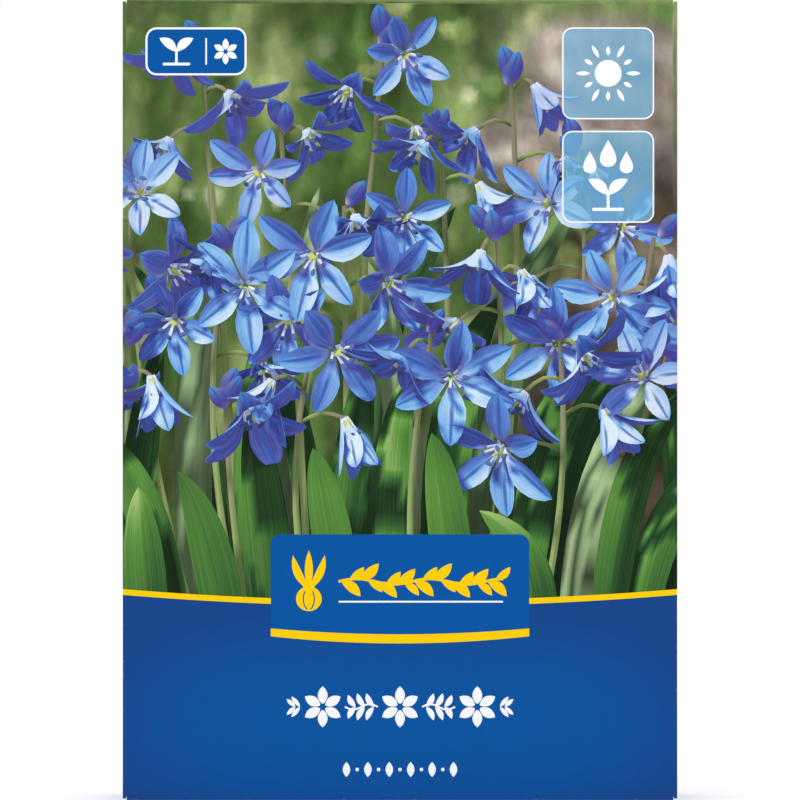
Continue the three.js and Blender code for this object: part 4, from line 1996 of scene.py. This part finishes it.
@dataclass(frozen=True)
class BackGuide(Motif):
    """The planting guide on the back: bulbs in the soil, a depth scale, and the months."""

    shift: float = 0.1  # from the wall's middle to the guide's
    half: float = 58.0  # half the width of its picture
    low: float = 68.0  # lower edge of its picture
    high: float = 190.0  # and its upper edge
    corner: float = 4.0
    rim: float = 0.6  # width of its white edge
    soil: float = 116.0  # height of the soil in the middle
    bed: float = 84.0  # height that the bulbs stand at
    spacing: float = 24.0  # from one bulb to the next
    bulb_radius: float = 8.0
    root_length: float = 7.5
    leaf_reaches: tuple[float, ...] = (-13.0, 11.0, -7.0, 6.0)  # of their tips, from the bulb's middle
    leaf_rise: float = 34.0  # over the soil
    leaf_width: float = 4.2
    stem_rise: float = 48.0
    flowers: tuple[Point, ...] = ((-1, 38.0), (1, 43.0), (-1, 50.0))  # side, and height over the soil
    flower_radius: float = 5.4
    scale: float = 52.0  # where the depth scale stands, from the centre
    scale_marks: int = 6  # steps of the scale
    planting: tuple[int, ...] = (8, 9, 10)  # months, with January as 0
    flowering: tuple[int, ...] = (2, 3)
    month: Point = (8.4, 12.0)  # width and height of a month's field
    month_gap: float = 1.3
    month_foot: float = 30.0
    sign: Point = (13.0, 17.0)  # place of the round signs under the months: to both sides, and up
    sign_radius: float = 6.2

    @property
    def centre(self) -> float:
        """The guide's middle on the sheet."""
        return self.plate.sheet.back.middle + self.shift

    def print(self) -> None:
        """Prints it."""
        low, high = (self.centre - self.half, self.low), (self.centre + self.half, self.high)
        card = rounded(low, high, self.corner)
        ground = Curve(self.soil, 6e-4, self.centre)
        surface = [high[0] - 2 * self.half * i / 24 for i in range(25)]
        earth = [point for point in card if point[1] < self.soil]
        earth += [(s, ground(s) + 0.6 * sin(0.9 * s)) for s in surface]
        self.plate.stamp(Ink.WHITE, rounded(low, high, self.corner, -self.rim))
        self.plate.stamp(Ink.PALE_SKY, card)
        self.plate.stamp(Ink.SOIL, earth)
        for i in range(4):
            s = self.centre + (i - 1.5) * self.spacing
            self.planted_bulb((s, self.bed + 1.5 * (i % 2)), ground(s))
        self.depth_scale(self.centre + self.scale, ground(self.centre + self.scale))
        self.months()

    def planted_bulb(self, foot: Point, ground: float) -> None:
        """Prints a bulb in the soil, with its roots, leaves and flowers.

        Args:
            foot: The bulb's base.
            ground: Height of the soil over it.
        """
        s, t = foot
        bulb, green = self.pen(Ink.TAN, Ink.SOIL), self.pen(Ink.SPROUT_GREEN)
        for i in range(-2, 3):
            tip = polar(foot, self.root_length, 0.42 * i - pi / 2)
            bulb.draw(lens((s, t + 1), tip, 0.7, 0.5 * i))
        for reach in self.leaf_reaches:
            tip = (s + reach, ground + self.leaf_rise - 0.9 * abs(reach))
            green.draw(lens((s, t + 12), tip, self.leaf_width, copysign(2.5, -reach)))
        green.draw(stroke([(s, t + 12), (s + 0.6, ground + 20), (s, ground + self.stem_rise)], 1.0))
        heart = (s, t + self.bulb_radius)
        bulb.draw(lens(heart, (s, t + 21), 6.4), disc(heart, self.bulb_radius, 36, 0.95))
        bulb.ribs(heart, (3.6, 6.6), 0.5)
        for side, up in self.flowers:
            star = (s + side * 4.6, ground + up)
            self.pen(Ink.LABEL_BLUE, Ink.WHITE).star(star, self.flower_radius, 0.3 * side)

    def depth_scale(self, s: float, ground: float) -> None:
        """Draws a scale beside the bulbs, from their base to the soil's surface.

        Args:
            s: Where it stands.
            ground: Height of the surface there.
        """
        pen, steps = self.pen(Ink.WHITE), self.scale_marks
        pen.draw(stroke([(s, self.bed), (s, ground)], 0.5))
        for i in range(steps + 1):
            t, reach = self.bed + (ground - self.bed) * i / steps, 1.3 if i % 3 else 2.4
            pen.draw(stroke([(s - reach, t), (s + reach, t)], 0.5))

    def months(self) -> None:
        """Prints the months of planting and flowering, with both signs larger below."""
        (wide, tall), foot, stamp = self.month, self.month_foot, self.plate.stamp
        bulb, flower = self.pen(Ink.SOIL, Ink.YELLOW), self.pen(Ink.LABEL_BLUE, Ink.WHITE)
        for month in range(12):
            left = self.centre + (month - 6) * (wide + self.month_gap) + self.month_gap / 2
            middle = (left + wide / 2, foot + tall / 2)
            field = rounded((left, foot), (left + wide, foot + tall), 1.2)
            if month in self.planting:
                stamp(Ink.YELLOW, field)
                bulb.bulb((middle[0], foot + 1.6), 8.8)
            elif month in self.flowering:
                stamp(Ink.PALE_SKY, field)
                flower.star(middle, 3.5)
            else:
                stamp(Ink.WHITE, field)
                stamp(Ink.PALE_SKY, disc(middle, 0.7, 16))
        aside, up = self.sign
        signs = [(self.centre - aside, up), (self.centre + aside, up)]
        stamp(Ink.WHITE, *[disc(sign, self.sign_radius, 40) for sign in signs])
        self.pen(Ink.SOIL, Ink.WHITE).bulb((signs[0][0], up - 4.6), 9.4)
        flower.star(signs[1], 4.6)


# ---- The pieces ----


def piece_of(name: str, mesh: Mesh, materials: list[Material]) -> bpy.types.Object:
    """Puts a finished mesh in the scene.

    Args:
        name: The piece's name.
        mesh: Its mesh, already in place.
        materials: Its materials, in the order of their slots.

    Returns:
        The piece.
    """
    for material in materials:
        mesh.materials.append(material)
    piece = bpy.data.objects.new(name, mesh)
    bpy.context.scene.collection.objects.link(piece)
    return piece


def dress(piece: bpy.types.Object, node: str) -> None:
    """Puts a piece in the place of the solid that it stands for.

    Args:
        piece: The piece.
        node: The solid's name.
    """
    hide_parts(node)
    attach(piece, "root")
    LOG.info("%s: %d faces", piece.name, len(piece.data.polygons))


@dataclass(frozen=True)
class Carton:
    """The folded and printed carton."""

    node: str = "carton"  # the solid that it stands for
    quick_pitch: float = 5.0  # between the garden's points, in millimetres
    MOTIFS = (Picture, Ground, Plaque, Ornament, Badge, CareLabels, BackGuide)  # from the deepest up

    def build(self) -> None:
        """Prints, folds and dresses the carton."""
        low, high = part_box(self.node)
        garden = Garden()
        plate = Plate(Sheet(Board(*((high - low) / MM))), garden)
        for motif in self.MOTIFS:
            motif(plate).print()
        materials = [FINISHES[ink].material() for ink in Ink]
        dress(piece_of("printed_carton", plate.press().folded(), materials), self.node)


@dataclass(frozen=True)
class Bulb:
    """One squill bulb, with its dry coat, papery nose, root plate and short roots.

    It is shaped with a body radius of 1 and its nose up, and then laid where its solid lies.
    """

    node: str  # the solid that it stands for
    seed: int  # picks its ribs and flakes
    nose: float = 0.24  # height of the nose over the round body
    nose_spread: float = 0.23  # in radians from the axis
    plate: float = 0.93  # from the centre down to the root plate
    plate_edge: float = -0.86  # height of the plate's rim
    root_tip: float = 1.0  # from the centre down to the ends of the roots
    roots: int = 11
    fit: float = 0.985  # keeps the round coat inside the solid's flat faces
    segments: int = 30
    rings: int = 22
    flake_turn: float = 0.95  # width of a loose flake, in radians
    flake_low: float = 0.35  # height that it hangs down to
    flake_high: float = 0.93  # height where it holds on
    flake_ply: float = 0.008  # its thickness
    rib_depth: float = 0.014  # half the depth of the ribs
    crease_depth: float = 0.006  # and of the creases between them
    root_length: Point = (0.1, 0.17)  # of the shortest and the longest root
    root_radius: Point = (0.018, 0.034)  # at its end and at the plate

    def pose(self) -> Matrix:
        """Reads how the solid lies, from its nose, its middle and its length.

        Returns:
            The matrix that takes a bulb of radius 1 with its nose up to its place.
        """
        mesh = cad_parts[self.node].data
        points = np.array([vert.co for vert in mesh.vertices])
        areas = np.array([face.area for face in mesh.polygons])
        middle = areas @ np.array([face.center for face in mesh.polygons]) / areas.sum()
        tip = points[np.argmax(np.linalg.norm(points - middle, axis=1))]
        axis = (tip - middle) / np.linalg.norm(tip - middle)
        radius = np.ptp(points @ axis) / (1 + self.nose + self.root_tip)
        heart = Vector(tip - axis * radius * (1 + self.nose))
        turn = Vector(axis).to_track_quat("Z", "Y").to_matrix().to_4x4()
        return Matrix.Translation(heart) @ turn @ Matrix.Scale(self.fit * radius, 4)

    def build(self, materials: list[Material]) -> None:
        """Makes the bulb and dresses it.

        Args:
            materials: Those of the coat and the root plate.
        """
        pick = random.Random(self.seed)
        bm = bmesh.new()
        coat = bm.verts.layers.float_vector.new("coat")
        bmesh.ops.create_uvsphere(bm, u_segments=self.segments, v_segments=self.rings, radius=1.0)
        phase, ribs = pick.uniform(0, tau), pick.randint(7, 10)
        for vert in bm.verts:
            vert.co = self.shaped(vert.co, phase, ribs)
        for start in (pick.uniform(0, tau), pick.uniform(0, tau)):
            self.peel(bm, start)
        for face in bm.faces:
            face.material_index = int(face.calc_center_median().z < self.plate_edge)
        self.root(bm, pick)
        shift = Vector((pick.uniform(0, 50), pick.uniform(0, 50), pick.uniform(0, 50)))
        for vert in bm.verts:
            vert[coat] = vert.co + shift
        for face in bm.faces:
            face.smooth = True
        bmesh.ops.transform(bm, matrix=self.pose(), verts=bm.verts)
        mesh = bpy.data.meshes.new(self.node + "_coat")
        bm.to_mesh(mesh)
        bm.free()
        dress(piece_of("squill_" + self.node, mesh, materials), self.node)

    def shaped(self, point: Vector, phase: float, ribs: int) -> Vector:
        """Moves a point of a sphere to the bulb's surface.

        Args:
            point: The point.
            phase: Turn of the ribs.
            ribs: How many ribs there are.

        Returns:
            The point on the bulb.
        """
        angle, around = point.angle(Vector((0, 0, 1))), atan2(point.y, point.x)
        reach = 1 + self.nose * exp(-((angle / self.nose_spread) ** 2))
        if pi - angle < 1:
            reach = min(reach, -self.plate / cos(angle))
        rib = self.rib_depth * (1 + cos(ribs * around + phase))
        rib += self.crease_depth * cos(3 * ribs * around)
        belly = 1 - rib * sin(angle)
        return point.normalized() * reach * Vector((belly, belly, 1))

    def peel(self, bm: bmesh.types.BMesh, start: float) -> None:
        """Lifts a loose flake off the coat near the nose.

        Args:
            bm: The bulb's mesh.
            start: Where round the bulb the flake starts, in radians.
        """

        def in_flake(face: bmesh.types.BMFace) -> bool:
            """Says whether a face of the coat belongs to the flake."""
            x, y, z = face.calc_center_median()
            return (atan2(y, x) - start) % tau < self.flake_turn and self.flake_low < z < self.flake_high

        made = bmesh.ops.duplicate(bm, geom=[face for face in bm.faces if in_flake(face)])["geom"]
        flake = [item for item in made if isinstance(item, bmesh.types.BMFace)]
        for vert in {vert for face in flake for vert in face.verts}:
            vert.co += vert.co.normalized() * (0.012 + 0.05 * max(vert.co.z - 0.55, 0) ** 1.5)
        bmesh.ops.solidify(bm, geom=flake, thickness=self.flake_ply)

    def root(self, bm: bmesh.types.BMesh, pick: random.Random) -> None:
        """Adds the dry roots under the plate.

        Args:
            bm: The bulb's mesh.
            pick: Its random source.
        """
        for i in range(self.roots):
            foot = polar((0.0, 0.0), 0.085 * sqrt(i + 0.5), 2.4 * i)
            length = pick.uniform(*self.root_length)
            lean = [Matrix.Rotation(pick.uniform(-0.4, 0.4), 4, axis) for axis in "XY"]
            place = Matrix.Translation((*foot, 0.005 - self.plate)) @ lean[0] @ lean[1]
            end, top = self.root_radius
            made = bmesh.ops.create_cone(
                bm, cap_ends=True, segments=7, radius1=end, radius2=top, depth=length,
                matrix=place @ Matrix.Translation((0, 0, -0.02)),
            )
            for face in {face for vert in made["verts"] for face in vert.link_faces}:
                face.material_index = 1


# ---- Studio ----


class Lamp(NamedTuple):
    """A soft square light, aimed at the packet."""

    name: str
    place: tuple[float, float, float]  # in metres
    size: float  # of its side, in metres
    power: float  # in watts
    glossy: bool  # whether it shows in reflections


@dataclass(frozen=True)
class Studio:
    """The camera, the lights and the pale floor, in metres."""

    distance: float = 1.6  # from the camera to the packet's front
    view: float = 0.2018  # height and width of the picture's view at the front
    sensor: float = 36.0  # in millimetres, as Blender counts it
    aim: Point = (0.0, 0.1)  # depth and height that the lamps aim at
    room: float = 0.76  # how bright the white room is as a light
    mirrored: float = 0.12  # and in reflections
    floor_level: float = -0.0001  # a hair under the packet
    LAMPS = (
        Lamp("front_fill", (0.0, -1.9, 0.9), 1.6, 3.4, False),
        Lamp("left_key", (-1.3, -0.9, 0.9), 0.9, 4.4, False),
        Lamp("right_fill", (1.4, -0.5, 0.7), 0.9, 1.2, True),
        Lamp("back_fill", (0.3, 1.5, 1.0), 1.2, 4.5, True),
    )

    def build(self) -> None:
        """Sets up the whole studio."""
        self.camera()
        self.world()
        self.floor()
        for lamp in self.LAMPS:
            self.light(lamp)
        bpy.context.scene.view_settings.view_transform = "Standard"

    def camera(self) -> None:
        """Sets a long lens straight in front of the packet."""
        low, high = CAD_BOX
        data = bpy.data.cameras.new("camera")
        data.sensor_width = self.sensor
        data.lens = self.sensor * self.distance / self.view
        camera = bpy.data.objects.new("camera", data)
        camera.location = (0.0, low.y - self.distance, (low.z + high.z) / 2)
        camera.rotation_euler = (pi / 2, 0.0, 0.0)
        bpy.context.scene.collection.objects.link(camera)
        bpy.context.scene.camera = camera

    def light(self, lamp: Lamp) -> None:
        """Adds a lamp.

        Args:
            lamp: The lamp.
        """
        data = bpy.data.lights.new(lamp.name, "AREA")
        data.shape, data.size, data.energy = "SQUARE", lamp.size, lamp.power
        light = bpy.data.objects.new(lamp.name, data)
        light.location = lamp.place
        way = Vector((0.0, *self.aim)) - Vector(lamp.place)
        light.rotation_euler = way.to_track_quat("-Z", "Y").to_euler()
        light.visible_glossy = lamp.glossy
        bpy.context.scene.collection.objects.link(light)

    def world(self) -> None:
        """Surrounds the packet with white that looks bright but lights and reflects less."""
        world = bpy.data.worlds.new("studio")
        graph = Graph(world)
        path = graph.add("LightPath").outputs
        unseen = graph.add("Mix", {0: path["Is Glossy Ray"], 2: self.room, 3: self.mirrored}).outputs[0]
        strength = graph.add("Mix", {0: path["Is Camera Ray"], 2: unseen, 3: 1.0}).outputs[0]
        background = graph.add("Background", {0: (1.0, 1.0, 1.0, 1.0), 1: strength}).outputs[0]
        graph.add("OutputWorld", {0: background})
        bpy.context.scene.world = world

    def floor(self) -> None:
        """Lays the pale floor, which is clear from below."""
        bm = bmesh.new()
        place = Matrix.Translation((0, 0, self.floor_level))
        bmesh.ops.create_grid(bm, x_segments=1, y_segments=1, size=3.0, matrix=place)
        mesh = bpy.data.meshes.new("floor")
        bm.to_mesh(mesh)
        bm.free()
        graph = Graph.named("floor")
        cloud = graph.noise(graph.place(), 6, 2)
        pale, grey = printed(248, 248, 248), printed(243, 243, 242)
        colour = graph.mix(graph.smooth(cloud, 0.2, 0.8, 0.3), pale, grey)
        above = graph.math("SUBTRACT", 1.0, graph.add("NewGeometry").outputs["Backfacing"])
        more = {"Emission Color": colour, "Emission Strength": 0.3, "Alpha": above}
        piece_of("floor", mesh, [graph.finish(colour, 0.95, 0.0, cloud, 0.0, more)])


def main() -> None:
    """Builds the packet in its studio."""
    logging.basicConfig(level=logging.INFO, format="%(name)s: %(message)s")
    Studio().build()
    Carton().build()
    coat = [BulbCoat().material(), ROOT_PLATE.material()]
    for seed, name in enumerate(sorted(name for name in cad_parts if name.startswith("bulb_"))):
        Bulb(name, seed).build(coat)
    bpy.context.view_layer.update()


if __name__ == "__main__":
    main()
